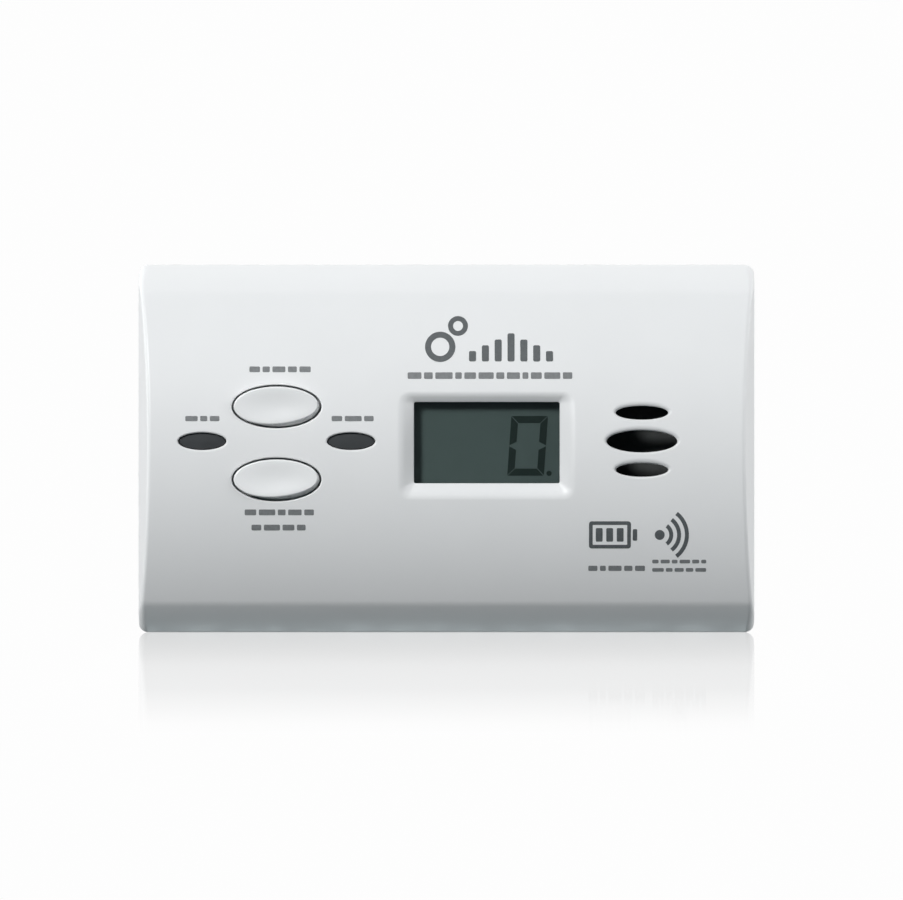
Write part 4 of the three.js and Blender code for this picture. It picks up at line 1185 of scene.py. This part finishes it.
def world():
    """White to the eye; a room that is dim in front of the object and bright at its sides and back."""
    studio = bpy.data.worlds.new("studio")
    bpy.context.scene.world = studio
    tree = cleared_tree(studio)
    parts = tree.parts("Generated")
    depth = tree.remap(parts["Y"], ROOM["dim_to"], ROOM["white_from"], interpolation_type="SMOOTHSTEP")
    room = tree.node("Background", {"Color": tree.ramp(depth, [(0, ROOM["dim"]), (1, WHITE)])})
    start, end = PANELS["start"], PANELS["end"]
    left = tree.remap(parts["X"], -start, -end, 0, PANELS["left"])
    right = tree.remap(parts["X"], start, end, 0, PANELS["right"])
    behind = tree.remap(parts["Y"], 0, PANELS["behind"])
    strength = tree.math("MULTIPLY", tree.math("ADD", left, right), behind)
    lit = tree.node("AddShader", {0: room, 1: tree.node("Background", {"Strength": strength})})
    plain = tree.node("Background", {"Color": (*WHITE, 1)})
    seen = tree.node("LightPath", output="Is Camera Ray")
    tree.node("OutputWorld", {"Surface": tree.mix(seen, lit, plain)})


FLOOR = {"reach": 6.0, "drop": 0.02 * MM, "tone": (0.02, 0.034, 0.038), "polish": 0.03}
MIRROR_START = -0.9  # metres from the object's middle, where the mirror image begins
MIRROR_GRAZE = (0.9, 0.965)  # the mirror image only shows to a view as low as this


def floor():
    """A pale floor with a faint mirror image of the object that fades towards the camera."""
    mesh = bpy.data.meshes.new("floor")
    reach = FLOOR["reach"]
    corners = [(-reach, -reach), (reach, -reach), (reach, reach), (-reach, reach)]
    mesh.from_pydata([(x, y, -FLOOR["drop"]) for x, y in corners], [], [(0, 1, 2, 3)])
    plane = add("floor", mesh)
    material = bpy.data.materials.new("floor")
    tree = cleared_tree(material)
    parts = tree.parts("Object")
    ahead = tree.remap(parts["Y"], MIRROR_START, 0)
    fade = tree.ramp(ahead, [(at, (share,) * 3) for at, share in MIRROR_FADE])
    half = WIDTH / 2 * MM
    aside = tree.math("ABSOLUTE", parts["X"])
    edge = tree.remap(aside, half - MM, half + MM, 1, 0, interpolation_type="SMOOTHSTEP")
    low_view = tree.remap(tree.node("LayerWeight", output="Facing"), *MIRROR_GRAZE)
    gloss = tree.math("MULTIPLY", tree.math("MULTIPLY", fade, edge), low_view)
    bright = tree.node("Emission", {"Color": (*WHITE, 1)})
    mirror = tree.node("BsdfGlossy", {"Roughness": FLOOR["polish"], "Color": (1, 1, 1, 1)})
    dull = tree.node("BsdfDiffuse", {"Color": (*FLOOR["tone"], 1)})
    seen = tree.node("LightPath", output="Is Camera Ray")
    tree.node("OutputMaterial", {"Surface": tree.mix(seen, dull, tree.mix(gloss, bright, mirror))})
    mesh.materials.append(material)
    plane.visible_shadow = False
    plane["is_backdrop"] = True


def soften(node, width=0.25, segments=2):
    """Rounds the sharp edges of a carried-over CAD node."""
    node.modifiers.new("weld", "WELD").merge_threshold = 0.002 * MM
    bevel = node.modifiers.new("bevel", "BEVEL")
    bevel.width, bevel.segments = width * MM, segments
    bevel.limit_method, bevel.angle_limit = "ANGLE", math.radians(40)
    node.modifiers.new("normals", "WEIGHTED_NORMAL").keep_sharp = True


def finish_cad_nodes():
    for row in frame["record"]["subparts"]:
        node = frame["nodes"][row["node"]]
        coat(node, CAD_FINISH.get(row["node"], row["material_slot"]))
        soften(node)


def build():
    finish_cad_nodes()
    stand_in(front_cover(), CASE, "white_case", "front_cover")
    stand_in(key_cap("test_button"), "test_key", "white_keys", "test_button")
    stand_in(key_cap("peak_button"), "peak_key", "white_keys", "peak_button")
    for node in ("alarm_lens", "power_lens"):
        stand_in(lens_plug(node), CASE, "smoked_lens", node)
    display()
    printed_marks()
    battery("upper_battery", 1)
    battery("middle_battery", -1)
    battery("lower_battery", 1)


build()
camera()
world()
floor()
for name, values in LIGHTS.items():
    area_light(name, *values)
bpy.context.scene.view_settings.view_transform = "Standard"

boxes = {"cad": CAD_BOX, "visual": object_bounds()}
{k: [[float(c) for c in corner] for corner in box] for k, box in boxes.items()}
